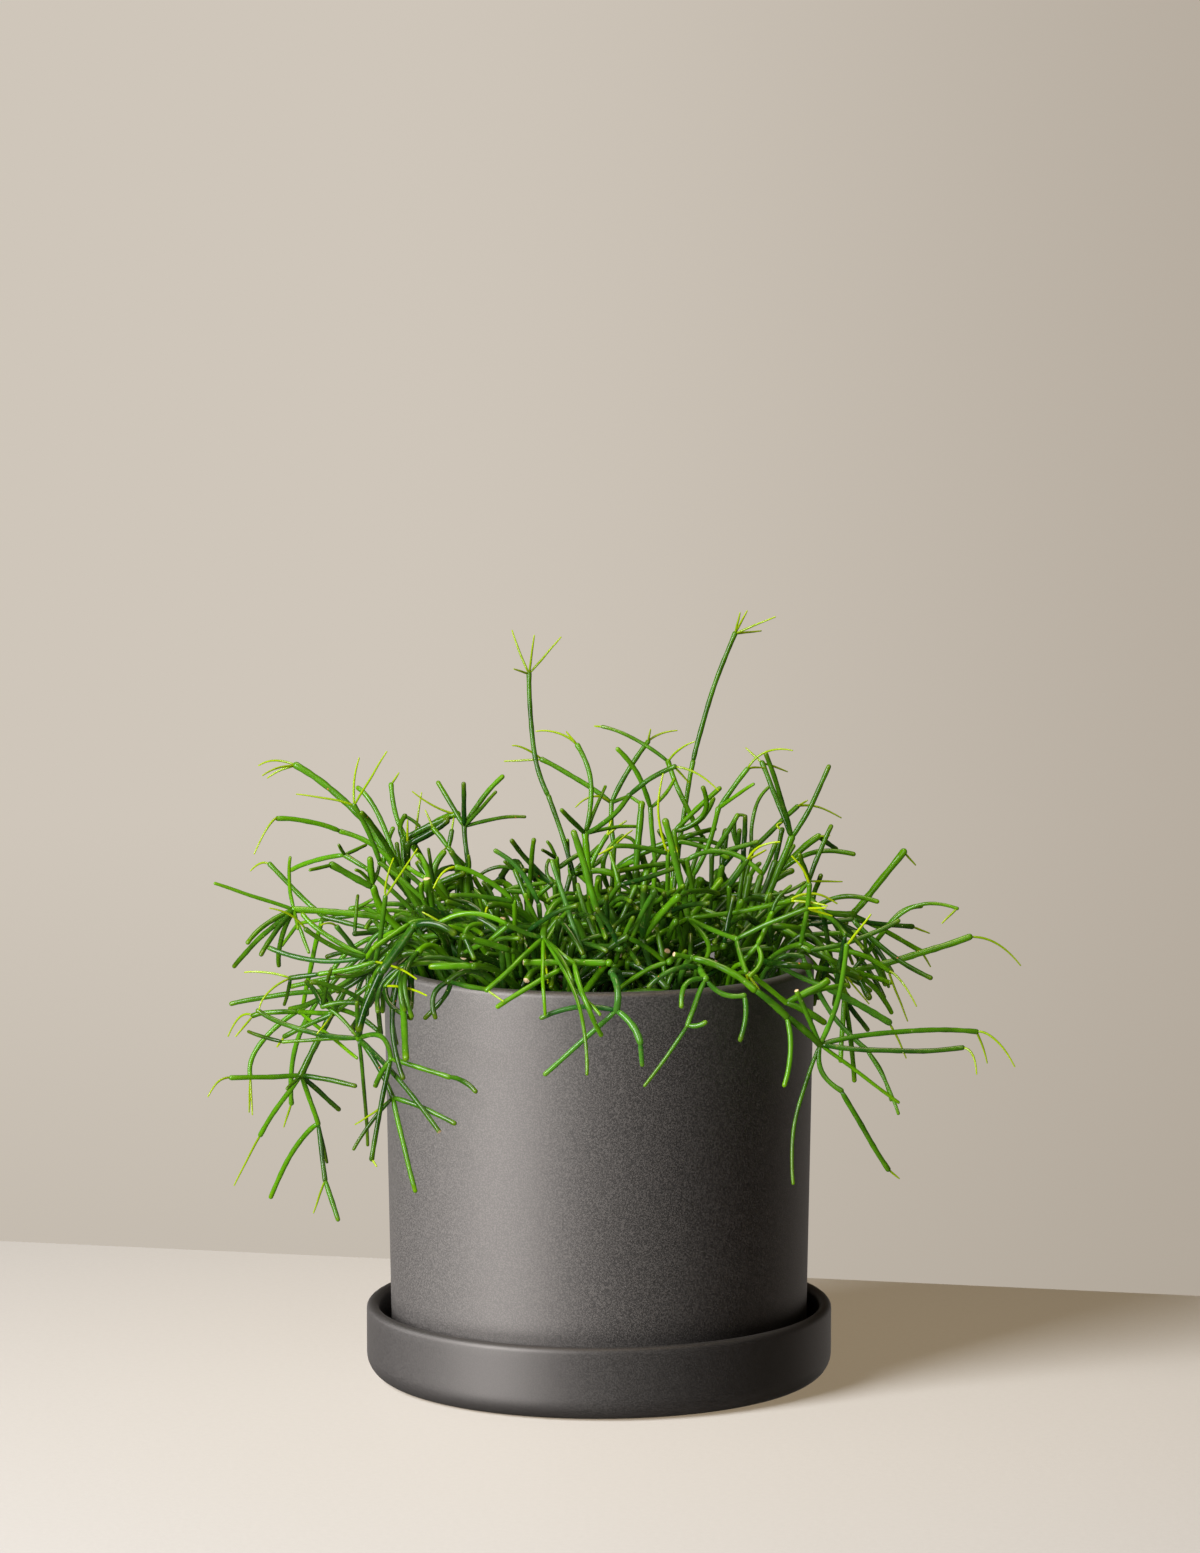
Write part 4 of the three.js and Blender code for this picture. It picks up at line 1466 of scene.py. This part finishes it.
AREOLE_YOUTH = 0.3
RUST_GROWTH = 0.6  # how much wider a rust spot is
RUST_SHARE = 0.06  # of the areoles that are rust spots instead
RUSTY = {"spotted": 0.5, "rim_right": 0.15, "teal": 0.12}

# Ends (x, z) of the table's stems that were cut back and have healed to a pale cork.
CUT_ENDS = {(30, 170), (-30, 166.8), (60, 162), (-64, 98), (-89.7, 116.4), (79, 155.3),
            (10, 168.5)}

# How blue a clump's stems are, and how light, where that differs from the rest.
BLOOM_MOST = 0.12
BLOOM = {"teal": 0.4, "right_teal": 0.3, "claw": 0.4, "rim_right": 0.2, "left_bar": 0.4}
# The fill clumps draw darker tones than the others, as painted shade for the stems deep in the
# mass.
PAINTED_SHADE_FILL_TONES, CLUMP_TONES = (0, 0.3), (0.2, 0.8)
TONE_SPREAD = 0.28  # from stem to stem of a clump
# The named clumps' tones are set to how light or dark each clump looks: partly its own colour,
# partly painted shade where it lies in shade and painted highlight where it catches the light.
TONES_WITH_PAINTED_LIGHT = {
    "left_arch": 0.65, "left_bar": 0.75, "left_bow": 1, "left_drop": 0.9, "left_fringe": 0.2,
    "left_hub": 0.55, "fountain": 0.75, "spill": 0.7, "spotted": 0.85, "teal": 0.7, "bow": 0.45,
    "mast": 0.5, "tall_left": 0.3, "tall_right": 0.5, "elbow": 0.55, "twin": 0.9,
    "right_rim": 0.8, "right_hub": 0.55, "inner_40": 0,
}

rng = np.random.default_rng(11)


def stem_tube(shell, stem, tone):
    """One closed round tube along the stem's curve, with a rounded tip and a narrow foot."""
    age = AGES[stem.age]
    length = stem.curve.length()
    steps = max(FEWEST_STEPS, math.ceil(length / RING_STEP))
    points = stem.curve.points(steps)
    t = np.linspace(0, 1, steps + 1)
    tangents, across, up = frames_along(points)
    waver = min(WAVER_MOST, WAVER * length) * np.sin(math.pi * t)
    for direction in (across, up):
        swing = np.sin(2 * math.pi * (t * rng.uniform(*WAVER_TURNS) + rng.random()))
        points = points + direction * (waver * swing)[:, None]
    along = t * length
    width = 1 + (age.end_width - 1) * t ** 2
    for pitch in [rng.uniform(*pitches) for pitches in KNOB_PITCHES]:
        width *= 1 + age.knob / KNOB_SHARE * np.sin(2 * math.pi * (along / pitch + rng.random()))
    width *= 1 - FOOT_WAIST * np.exp(-along / FOOT_REACH)
    if stem.bears:
        width *= 1 + JOINT_SWELL * np.exp(-(length - along) / JOINT_REACH)
    radii = age.radius * age.scale * width
    is_cut = stem.age == "cut" or stem.target[:2] in CUT_ENDS
    cap = np.linspace(0, math.pi / 2, CAP_RINGS + 1)[1:]
    reach = radii[-1] * (CUT_BULGE if is_cut else 1) * np.sin(cap)
    points = np.concatenate([points, points[-1] + tangents[-1] * reach[:, None]])
    radii = np.concatenate([radii, radii[-1] * np.cos(cap).clip(CAP_POINT)])
    across, up = (np.concatenate([way, np.repeat(way[-1:], CAP_RINGS, 0)]) for way in (across, up))
    angles = circle_of(age.sides)[None, :, None]
    circle = np.cos(angles) * across[:, None] + np.sin(angles) * up[:, None]
    young, old = age.youth
    youth = np.concatenate([young + (old - young) * t ** 2, np.full(CAP_RINGS, old)])
    if not stem.bears:
        youth[-CAP_RINGS - 1:] = np.maximum(youth[-CAP_RINGS - 1:], TIP_YOUTH)
    bloom = BLOOM.get(stem.clump.name, BLOOM_MOST * rng.random())
    cork = np.concatenate([np.zeros(steps + 1), np.full(CAP_RINGS, CORK if is_cut else 0.0)])
    shell.add_rings(points[:, None] + circle * radii[:, None, None],
                    tone=tone, youth=youth, bloom=bloom, mark=0.0, cork=cork, rust=0.0)
    if stem.age not in ("young", "gold"):
        rusty = RUSTY.get(stem.clump.name, RUST_SHARE)
        add_areoles(shell, points, radii, across, up, along, rusty, tone=tone, bloom=bloom)


def add_areoles(shell, points, radii, across, up, along, rusty, **marks):
    """Small pale cushions that wind round the stem. A share of them, rusty, are rust spots."""
    place = rng.uniform(*AREOLE_STEP)
    turn = rng.uniform(0, 2 * math.pi)
    angles = circle_of(AREOLE_SIDES)[:, None]
    while place < along[-1] - AREOLE_END:
        i = int(np.searchsorted(along, place)) - 1
        share = (place - along[i]) / (along[i + 1] - along[i])
        middle = points[i] + (points[i + 1] - points[i]) * share
        onward = normalized(points[i + 1] - points[i])
        outward = across[i] * math.cos(turn) + up[i] * math.sin(turn)
        foot = middle + outward * radii[i] * AREOLE_DEPTH
        rust = float(rng.random() < rusty)
        spot = AREOLE_RADIUS * (1 + RUST_GROWTH * rust)
        circle = np.cos(angles) * onward + np.sin(angles) * np.cross(onward, outward)
        rings = np.array([foot + (circle * spot * size + outward * lift) * radii[i]
                          for size, lift in AREOLE_RINGS])
        shell.add_rings(rings, youth=AREOLE_YOUTH, mark=1.0, cork=0.0, rust=rust, **marks)
        place += rng.uniform(*AREOLE_STEP)
        turn += 2 * math.pi * AREOLE_TURN


def clump_piece(clump, material, is_fill=False):
    """All of a clump's fine stems as one piece, on its woody foot."""
    shell = Shell()
    top = clump.crown_top()
    buried = top - UP * FINE_FOOT_LENGTH
    crown = Stem(clump, "old", 0, curve=straight_curve(buried, top), bears=1)
    # A fill clump draws from the darker tones, as painted shade.
    drawn_tone = rng.uniform(*(PAINTED_SHADE_FILL_TONES if is_fill else CLUMP_TONES))
    # A named clump's tone holds painted shade or painted highlight as well as its own colour.
    clump_tone = TONES_WITH_PAINTED_LIGHT.get(clump.name, drawn_tone)
    for stem in [crown, *clump.stems]:
        if stem.curve:
            tone = float(np.clip(clump_tone + rng.normal(0, TONE_SPREAD), 0, 1))
            stem_tube(shell, stem, tone)
    piece = shell.make(f"fine_{clump.name}", material)
    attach(piece, "root")
    return piece


# ---------------------------------------------------------------- materials


def srgb(hex_colour):
    """A linear RGBA colour from a six-digit hex one."""
    values = [int(hex_colour[i:i + 2], 16) / 255 for i in (0, 2, 4)]
    return (*[v / 12.92 if v <= 0.04045 else ((v + 0.055) / 1.055) ** 2.4 for v in values], 1)


class Paint:
    """A material whose nodes are added one by one. Each method returns the new node's output."""

    def __init__(self, name, **shader_values):
        self.material = bpy.data.materials.new(name)
        self.material.use_nodes = True
        self.tree = self.material.node_tree
        self.shader = self.tree.nodes["Principled BSDF"]
        for socket, value in shader_values.items():
            self.shader.inputs[socket.replace("_", " ")].default_value = value
        self.place = self.tree.nodes.new("ShaderNodeTexCoord").outputs["Object"]

    def node(self, kind, inputs, **settings):
        made = self.tree.nodes.new(kind)
        for setting, value in settings.items():
            setattr(made, setting, value)
        for key, value in inputs.items():
            if isinstance(value, bpy.types.NodeSocket):
                self.tree.links.new(value, made.inputs[key])
            else:
                made.inputs[key].default_value = value
        return made

    def noise(self, size, detail=2, roughness=0.5):
        """Noise whose cells are about size mm wide."""
        inputs = {"Vector": self.place, "Scale": 1 / (size * MM), "Detail": detail,
                  "Roughness": roughness}
        return self.node("ShaderNodeTexNoise", inputs).outputs["Fac"]

    def spread(self, value, low, high, to_low=0, to_high=1, **settings):
        """Moves value from the range low to high to another one, and keeps it in there."""
        inputs = {"Value": value, "From Min": low, "From Max": high, "To Min": to_low,
                  "To Max": to_high}
        return self.node("ShaderNodeMapRange", inputs, **settings).outputs["Result"]

    def attribute(self, name):
        return self.node("ShaderNodeAttribute", {}, attribute_name=name).outputs["Fac"]

    def maths(self, operation, a, b):
        return self.node("ShaderNodeMath", {0: a, 1: b}, operation=operation).outputs[0]

    def mix(self, share, a, b):
        """From a at share 0 to b at share 1. A colour is a socket or a hex string."""
        a, b = (srgb(colour) if isinstance(colour, str) else colour for colour in (a, b))
        return self.node("ShaderNodeMix", {0: share, 6: a, 7: b}, data_type="RGBA").outputs[2]

    def bump(self, height, strength, depth_mm):
        inputs = {"Height": height, "Strength": strength, "Distance": depth_mm * MM}
        return self.node("ShaderNodeBump", inputs).outputs["Normal"]

    def wire(self, **sockets):
        for socket, value in sockets.items():
            self.tree.links.new(value, self.shader.inputs[socket.replace("_", " ")])
        return self.material


def stem_material():
    """Tone, youth and bloom colour a whole stem, and mark, cork and rust its areoles and ends."""
    paint = Paint("stem_skin", Specular_IOR_Level=0.3)
    tone, youth, mark = (paint.attribute(name) for name in ("tone", "youth", "mark"))
    patches, grain = paint.noise(9), paint.noise(0.7)
    patched = paint.maths("ADD", tone, paint.spread(patches, 0.3, 0.7, -0.25, 0.25))
    shade = paint.spread(patched, 0, 1)
    # Dark to light green by tone. For the fill clumps and some named ones, that tone is partly
    # painted shade and painted highlight.
    green = paint.mix(shade, "143706", "4d8604")
    green = paint.mix(paint.attribute("bloom"), green, "1c5634")
    green = paint.mix(youth, green, "94ac06")
    green = paint.mix(paint.spread(grain, 0.55, 0.8, 0, 0.1), green, "6fa022")
    scurf = paint.spread(paint.noise(1.5, detail=3), 0.58, 0.74)
    on_old = paint.spread(youth, 0.04, 0, 0, 0.5)
    green = paint.mix(paint.maths("MULTIPLY", scurf, on_old), green, "6f7436")
    colour = paint.mix(paint.maths("MULTIPLY", mark, 0.5), green, "a9ae70")
    cork = paint.mix(paint.spread(paint.noise(0.8), 0.4, 0.6), "c79f84", "e0cba4")
    colour = paint.mix(paint.attribute("cork"), colour, cork)
    colour = paint.mix(paint.maths("MULTIPLY", paint.attribute("rust"), 0.8), colour, "b2501f")
    return paint.wire(
        Base_Color=colour,
        Roughness=paint.spread(patches, 0.3, 0.7, 0.13, 0.2),
        Normal=paint.bump(paint.noise(4), 0.03, 0.12),
    )


SHEEN_TINT = (1, 0.93, 0.89, 1)
ROUGHNESS_SPREAD = 0.04  # between the glaze's specks and its ground


def ceramic_material(name, speckle, rough, index):
    """Charcoal stoneware with a dull sheen. speckle is how far specks differ from the ground."""
    paint = Paint(name, Specular_IOR_Level=1.0, IOR=index, Specular_Tint=SHEEN_TINT)
    ground = paint.mix(paint.spread(paint.noise(60), 0.35, 0.65), "211f1f", "252423")
    specks = paint.spread(paint.noise(0.55, detail=1), 0.42, 0.6)
    colour = paint.mix(paint.maths("MULTIPLY", specks, speckle), ground, "5a5653")
    pits = paint.spread(paint.noise(0.6, detail=1), 0.46, 0.36, 0, speckle)
    return paint.wire(
        Base_Color=paint.mix(pits, colour, "0c0c0c"),
        Roughness=paint.spread(specks, 0, 1, rough - ROUGHNESS_SPREAD, rough + ROUGHNESS_SPREAD),
        Normal=paint.bump(specks, 0.2 * speckle, 0.1),
    )


def soil_material():
    paint = Paint("potting_mix", Roughness=0.95, Specular_IOR_Level=0.2)
    chip = paint.attribute("chip")
    dark = paint.mix(paint.spread(paint.noise(3, detail=5), 0.3, 0.7), "1d140d", "4a3626")
    colour = paint.mix(paint.spread(chip, 0.5, 0.9), dark, "8a6c4c")
    colour = paint.mix(paint.spread(chip, 0.93, 0.96), colour, "d8d3c8")
    return paint.wire(Base_Color=colour, Normal=paint.bump(paint.noise(1.2, detail=4), 0.8, 0.6))


# ---------------------------------------------------------------- saucer, pot and soil

TURNED_STEPS = 192
ARC_STEPS, WIDE_ARC_STEPS, NARROW_ARC_STEPS = 8, 12, 6
FLAT_STEP, WALL_STEP = 6, 3  # between the points of a straight stretch


def arc(centre_x, centre_z, radius, start, end, steps=ARC_STEPS):
    """Points of a round between two directions given in degrees."""
    angles = np.radians(np.linspace(start, end, steps + 1))
    return [(centre_x + radius * math.cos(a), centre_z + radius * math.sin(a)) for a in angles]


def stretch(a, b, step=FLAT_STEP):
    """Points on the straight line from a to b, without its ends."""
    count = max(1, round(math.dist(a, b) / step))
    return [tuple(np.array(a) + (np.array(b) - a) * i / count) for i in range(1, count)]


def turned_piece(name, profile, material, node):
    """A closed surface of revolution. Where the profile meets the axis, it has one point there."""
    points, faces, rings = [], [], []
    for x, z in profile:
        angles = [2 * math.pi * k / TURNED_STEPS for k in range(TURNED_STEPS if x else 1)]
        rings.append([len(points) + k for k in range(len(angles))])
        points += [(x * math.cos(angle), x * math.sin(angle), z) for angle in angles]
    if profile[0][0]:
        rings.append(rings[0])
    for low, high in zip(rings, rings[1:]):
        for k in range(TURNED_STEPS):
            m = (k + 1) % TURNED_STEPS
            faces.append((low if len(low) == 1 else [low[k], low[m]])
                         + (high if len(high) == 1 else [high[m], high[k]]))
    shell = Shell()
    shell.add(points, faces)
    piece = shell.make(name, material)
    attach(piece, "root")
    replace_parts(piece, node)
    return piece


def saucer_profile():
    lip, corner, inside = SAUCER_WALL / 2, SAUCER_CORNER, SAUCER_INNER_CORNER
    outer, inner = SAUCER_RIM_RADIUS, SAUCER_RIM_RADIUS - SAUCER_WALL
    high, floor = SAUCER_HEIGHT - lip, SAUCER_FLOOR
    return [
        (0, 0),
        *stretch((0, 0), (outer - corner, 0)),
        *arc(outer - corner, corner, corner, -90, 0, WIDE_ARC_STEPS),
        *stretch((outer, corner), (outer, high), WALL_STEP),
        *arc(outer - lip, high, lip, 0, 180, WIDE_ARC_STEPS),
        *stretch((inner, high), (inner, floor + inside), WALL_STEP),
        *arc(inner - inside, floor + inside, inside, 0, -90, NARROW_ARC_STEPS),
        *stretch((inner - inside, floor), (0, floor)),
        (0, floor),
    ]


def pot_profile():
    foot, low, high = POT_FOOT, POT_FOOT + POT_FLOOR, POT_RIM - POT_RIM_ROUNDING
    drain, turn, lip = POT_DRAIN_RADIUS, POT_FOOT_ROUNDING, POT_RIM_ROUNDING
    inside_low = (pot_radius_at(low) - POT_WALL, low)
    return [
        (drain, foot),
        *stretch((drain, foot), (POT_FOOT_RADIUS - turn, foot)),
        *arc(POT_FOOT_RADIUS - turn, foot + turn, turn, -90, 0),
        *stretch((POT_FOOT_RADIUS, foot + turn), (POT_RIM_RADIUS, high)),
        *arc(POT_RIM_RADIUS - lip, high, lip, 0, 90),
        *arc(POT_RIM_RADIUS - POT_WALL + lip, high, lip, 90, 180),
        *stretch((POT_RIM_RADIUS - POT_WALL, high), inside_low),
        inside_low,
        *stretch(inside_low, (drain, low)),
        (drain, low),
    ]


SOIL_RINGS, SOIL_SPOKES = 34, 120
SOIL_RELIEF = 1.6
SOIL_BUMPS = 0.6  # the bumps' share of that relief
BROAD_BUMP, FINE_BUMP = 9, 3.4  # their sizes
FINE_SHARE = 0.5  # the fine bumps' height, as a share of the broad ones'
FINE_LAYER = 7  # the height in the noise at which the fine ones are read
MIDDLE_RING = 0.02  # the innermost ring's radius, as a share
PLUG_RINGS = (MIDDLE_RING, 0.5, 1)
CHIP_COUNT = 900
CHIP_SIZE = (0.9, 2.6)
CHIP_SIDES = 5
CHIP_RINGS = ((-0.9, 0.35), (-0.3, 0.95), (0.35, 0.9), (0.9, 0.4))  # height, then width
CHIP_JITTER = (0.8, 1.1)
CHIP_BREADTH = 0.8  # as a share of its length
CHIP_HEIGHT = ((0.94, 0.55), (1, 0.9))  # up to each kind, as a share of its length
CHIP_LIE = 0.6  # what is left of its height where it lies in the mix
CHIP_EDGE = 1.4  # the gap to the pot's wall, in its own sizes
CHIP_TOP = 0.8  # the most that it stands over the soil


def soil_height(x, y):
    bumps = noise.noise(Vector((x, y, 0)) / BROAD_BUMP)
    bumps += FINE_SHARE * noise.noise(Vector((x, y, FINE_LAYER)) / FINE_BUMP)
    return SOIL_TOP - SOIL_RELIEF + SOIL_RELIEF * SOIL_BUMPS * bumps


def soil_piece(material):
    """An uneven top of fine mix with chips of bark and a few white grains, over a plain plug."""
    bottom = POT_FOOT + POT_FLOOR + TOUCH_GAP
    radius, low_radius = (pot_radius_at(z) - POT_WALL - TOUCH_GAP for z in (SOIL_TOP, bottom))
    shell = Shell()
    rings = []
    for reach, shares, height in (
        (low_radius, PLUG_RINGS, lambda x, y: bottom),
        (radius, np.linspace(1, MIDDLE_RING, SOIL_RINGS), soil_height),
    ):
        for r in [reach * share for share in shares]:
            places = [(r * math.cos(a), r * math.sin(a)) for a in circle_of(SOIL_SPOKES)]
            rings.append([(x, y, height(x, y)) for x, y in places])
    shell.add_rings(np.array(rings), chip=0.0)
    for _ in range(CHIP_COUNT):
        size = rng.uniform(*CHIP_SIZE)
        r = (radius - size * CHIP_EDGE) * math.sqrt(rng.random())
        a = rng.uniform(0, 2 * math.pi)
        x, y = r * math.cos(a), r * math.sin(a)
        add_chip(shell, np.array([x, y, soil_height(x, y)]), size, rng.random())
    piece = shell.make("soil_mix", material)
    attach(piece, "root")
    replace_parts(piece, "soil")
    return piece


def add_chip(shell, middle, size, kind):
    """A rough grain. kind from 0 to 1 is dark mix, then bark, then white perlite."""
    turn = np.linalg.qr(rng.normal(size=(3, 3)))[0]
    height = next(share for most, share in CHIP_HEIGHT if kind < most)
    shape = np.array([1, CHIP_BREADTH, height]) * size
    angles = circle_of(CHIP_SIDES)
    rings = []
    for lift, width in CHIP_RINGS:
        ring = np.stack([np.cos(angles) * width, np.sin(angles) * width,
                         np.full(CHIP_SIDES, lift)], 1)
        rings.append(ring * rng.uniform(*CHIP_JITTER, (CHIP_SIDES, 1)) * shape)
    points = np.array(rings) @ turn.T
    points[..., 2] *= CHIP_LIE
    points += middle
    points[..., 2] = np.minimum(points[..., 2], SOIL_TOP + CHIP_TOP)
    shell.add_rings(points, chip=float(kind))


# ---------------------------------------------------------------- stage, lights and camera

FRAME_WIDTH, FRAME_HEIGHT = 1200, 1553
FOCAL_PIXELS = 6070  # the focal length, in pixels of that frame
SENSOR = 36
CAMERA_PITCH = 6.9  # degrees below level

CLIP = (0.1, 30)  # in metres

TABLE_BACK = ((-266, 270), (255, 151))  # two points of the table's back edge
TABLE_REACH = 2600
TABLE_THICKNESS = 30
TABLE_EDGE, TABLE_EDGE_STEPS = 2, 3  # the rounding of its edges

BACKDROP_RADIUS = 6500
BACKDROP_RINGS, BACKDROP_SPOKES = 24, 48
BACKDROP_POLES = 0.01  # radians from a pole to the ring next to it


def add_camera():
    data = bpy.data.cameras.new("camera")
    data.sensor_width = SENSOR
    data.lens = SENSOR * FOCAL_PIXELS / max(FRAME_WIDTH, FRAME_HEIGHT)
    data.clip_start, data.clip_end = CLIP
    camera = bpy.data.objects.new("camera", data)
    camera.location = Vector(EYE) * MM
    camera.rotation_euler = (math.radians(90 - CAMERA_PITCH), 0, 0)
    bpy.context.scene.collection.objects.link(camera)
    bpy.context.scene.camera = camera


def table_material():
    paint = Paint("table_top", Roughness=0.6, Specular_IOR_Level=0.3)
    fibres = paint.noise(2.5, detail=6, roughness=0.7)
    colour = paint.mix(paint.spread(fibres, 0.3, 0.7), "b5b3b1", "b9b7b5")
    return paint.wire(Base_Color=colour, Normal=paint.bump(fibres, 0.2, 0.3))


def add_table():
    """A slab whose back edge stands close behind the pot, a little askew."""
    a, b = (np.array([x, y, 0.0]) for x, y in TABLE_BACK)
    along = normalized(b - a) * TABLE_REACH
    front = np.array([along[1], -along[0], 0])
    back_left, back_right = a - along, b + along
    top = [back_left + front, back_right + front, back_right, back_left]
    low = [corner - [0, 0, TABLE_THICKNESS] for corner in top]
    faces = [(0, 1, 2, 3), (7, 6, 5, 4)]
    faces += [(i, i + 4, (i + 1) % 4 + 4, (i + 1) % 4) for i in range(4)]
    mesh = bpy.data.meshes.new("table")
    mesh.from_pydata([tuple(p * MM) for p in top + low], [], faces)
    mesh.materials.append(table_material())
    table = bpy.data.objects.new("table", mesh)
    bpy.context.scene.collection.objects.link(table)
    bevel = table.modifiers.new("edge", "BEVEL")
    bevel.width, bevel.segments = TABLE_EDGE * MM, TABLE_EDGE_STEPS
    table.visible_glossy = False
    return table


def add_backdrop():
    """A warm grey sphere far round the table, seen by the camera alone. Its glow is painted light,
    lighter to the left and darker to the right and towards the bottom.
    """
    paint = Paint("backdrop")
    axes = paint.node("ShaderNodeSeparateXYZ", {0: paint.place}).outputs
    # Painted light that falls off from left to right, and painted shade towards the bottom.
    painted_falloff_to_right = paint.spread(axes["X"], -0.4, 1.2, interpolation_type="SMOOTHSTEP")
    painted_shade_downwards = paint.spread(axes["Z"], -0.6, -1.3, 0, 0.3)
    colour = paint.mix(painted_shade_downwards, paint.mix(painted_falloff_to_right, "cfc6ba", "b4aa9d"), "a3998b")
    glow = paint.node("ShaderNodeEmission", {"Color": colour}).outputs[0]
    paint.tree.links.new(glow, paint.tree.nodes["Material Output"].inputs["Surface"])
    paint.tree.nodes.remove(paint.shader)

    shell = Shell()
    top = math.pi / 2 - BACKDROP_POLES
    shell.add_rings(np.array([
        [(math.cos(h) * math.cos(a), math.cos(h) * math.sin(a), math.sin(h))
         for a in circle_of(BACKDROP_SPOKES)]
        for h in np.linspace(-top, top, BACKDROP_RINGS)
    ]) * BACKDROP_RADIUS)
    backdrop = shell.make("backdrop", paint.material)
    backdrop.visible_diffuse = backdrop.visible_glossy = backdrop.visible_shadow = False
    backdrop.visible_transmission = backdrop.visible_volume_scatter = False


def group(name, pieces, state="INCLUDE"):
    """A collection for light linking that names pieces, or all but them with the state EXCLUDE."""
    collection = bpy.data.collections.new(name)
    for piece in pieces:
        collection.objects.link(piece)
    for linked in collection.collection_objects:
        linked.light_linking.link_state = state
    return collection


WHITE, WARM, CREAM, AMBER = (1, 1, 1), (1, 0.75, 0.48), (1, 0.92, 0.76), (1, 0.79, 0.52)
WALL_GLOW = (1, 0.93, 0.86)
ROOM_GLOW, ROOM_STRENGTH = (1, 0.85, 0.68, 1), 0.02

# Each soft box: its name, what it lights, what alone throws its shadow where not all does, its
# azimuth and elevation, its distance, width and height, its watts and colour, and the point that
# it is turned to. Azimuth 0 is over the camera, and grows towards the left.
KEY = (24, 2400, 1050, 1800)
OVERHEAD = (90, 89, 2400, 1000, 1000)
LIGHTS = (
    ("key_on_table", "table", None, 50, *KEY, 161, WHITE),
    ("key_on_stems", "stems", None, 44, *KEY, 108, WHITE),
    ("front_on_stems", "stems", None, -15, 35, 2400, 1400, 1400, 18, CREAM),
    ("key_on_holder", "holder", "holder", 53, *KEY, 94, WHITE),
    ("left_on_holder", "holder", "holder", 105, 15, 2400, 900, 1600, 21, WHITE),
    ("bounce_on_holder", "holder", "holder", 52, -24, 2400, 1600, 1200, 27, WHITE),
    ("overhead_on_holder", "holder", "holder", *OVERHEAD, 12, WARM),
    ("wall_on_holder", "holder", "holder", 190, -14, 1500, 3600, 900, 4.4, WALL_GLOW),
    ("overhead", "stems", None, *OVERHEAD, 38, WARM),
    ("fill_on_table", "table", "table", 90, 89, 800, 500, 500, 4.1, AMBER, (60, 40, 0)),
)


def add_light(name, azimuth, elevation, distance, width, height, watts, colour, at=(0, 0, 120)):
    data = bpy.data.lights.new(name, "AREA")
    data.shape, data.size, data.size_y = "RECTANGLE", width * MM, height * MM
    data.energy, data.color = watts, colour
    light = bpy.data.objects.new(name, data)
    light.visible_camera = False
    a, e = math.radians(azimuth), math.radians(elevation)
    out = np.array([-math.sin(a) * math.cos(e), -math.cos(a) * math.cos(e), math.sin(e)])
    light.location = Vector((np.array(at) + out * distance) * MM)
    light.rotation_euler = Vector(-out).to_track_quat("-Z", "Y").to_euler()
    bpy.context.scene.collection.objects.link(light)
    return light.light_linking


def add_lights(holder, table):
    """Pot and saucer, the holder, have lights of their own, which the stems don't shade."""
    groups = {
        "table": group("table_only", [table]),
        "holder": group("holder_only", holder),
        "stems": group("all_but_holder_and_table", [*holder, table], "EXCLUDE"),
    }
    for name, lit, shading, *box in LIGHTS:
        linking = add_light(name, *box)
        linking.receiver_collection = groups[lit]
        if shading:
            linking.blocker_collection = groups[shading]
    scene = bpy.context.scene
    scene.world = bpy.data.worlds.new("room")
    scene.world.use_nodes = True
    room = scene.world.node_tree.nodes["Background"].inputs
    room["Color"].default_value, room["Strength"].default_value = ROOM_GLOW, ROOM_STRENGTH
    scene.view_settings.view_transform = "Standard"


# ---------------------------------------------------------------- the whole scene


def all_stems(clumps):
    return [stem for clump in clumps for stem in clump.stems]


def grow_plant():
    """The frame's clumps with their finer stems, then the clumps that only this script adds."""
    clumps = read_table(STEM_TABLE)
    backs = [back_clump("trail", TRAILS, i) for i in range(TRAILS["count"])]
    backs += [back_clump("dome", DOMES, i) for i in range(DOMES["count"])]
    plant_crowns(clumps + backs)
    grow(all_stems(clumps), sighted_courses)
    grow(all_stems(backs), drawn_courses)
    grow(read_extras(EXTRA_TABLE, clumps), sighted_courses, FILL_CLEARANCE)
    inner = read_table(INNER_TABLE)
    plant_crowns(inner)
    grow(all_stems(inner), sighted_courses, FILL_CLEARANCE)
    fills = [side_clump(i) for i in range(SIDE_CLUMPS)]
    fills += [skirt_clump(i) for i in range(SKIRT_CLUMPS)]
    fills += [mound_clump(i) for i in range(MOUND_CLUMPS)]
    plant_crowns(fills)
    grow(all_stems(fills), drawn_courses, FILL_CLEARANCE)
    return clumps + backs, inner, fills


def main():
    add_camera()
    clumps, inner, fills = grow_plant()
    skin = stem_material()
    for clump in clumps:
        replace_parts(clump_piece(clump, skin), f"stems_{clump.name}")
    for clump in inner:
        clump_piece(clump, skin)
    for clump in fills:
        clump_piece(clump, skin, is_fill=True)
    saucer_glaze = ceramic_material("saucer_glaze", speckle=0.2, rough=0.55, index=1.6)
    saucer = turned_piece("fine_saucer", saucer_profile(), saucer_glaze, "saucer")
    pot_glaze = ceramic_material("pot_glaze", speckle=0.6, rough=0.6, index=1.72)
    pot = turned_piece("fine_pot", pot_profile(), pot_glaze, "pot")
    soil_piece(soil_material())
    table = add_table()
    add_backdrop()
    add_lights([saucer, pot], table)


main()
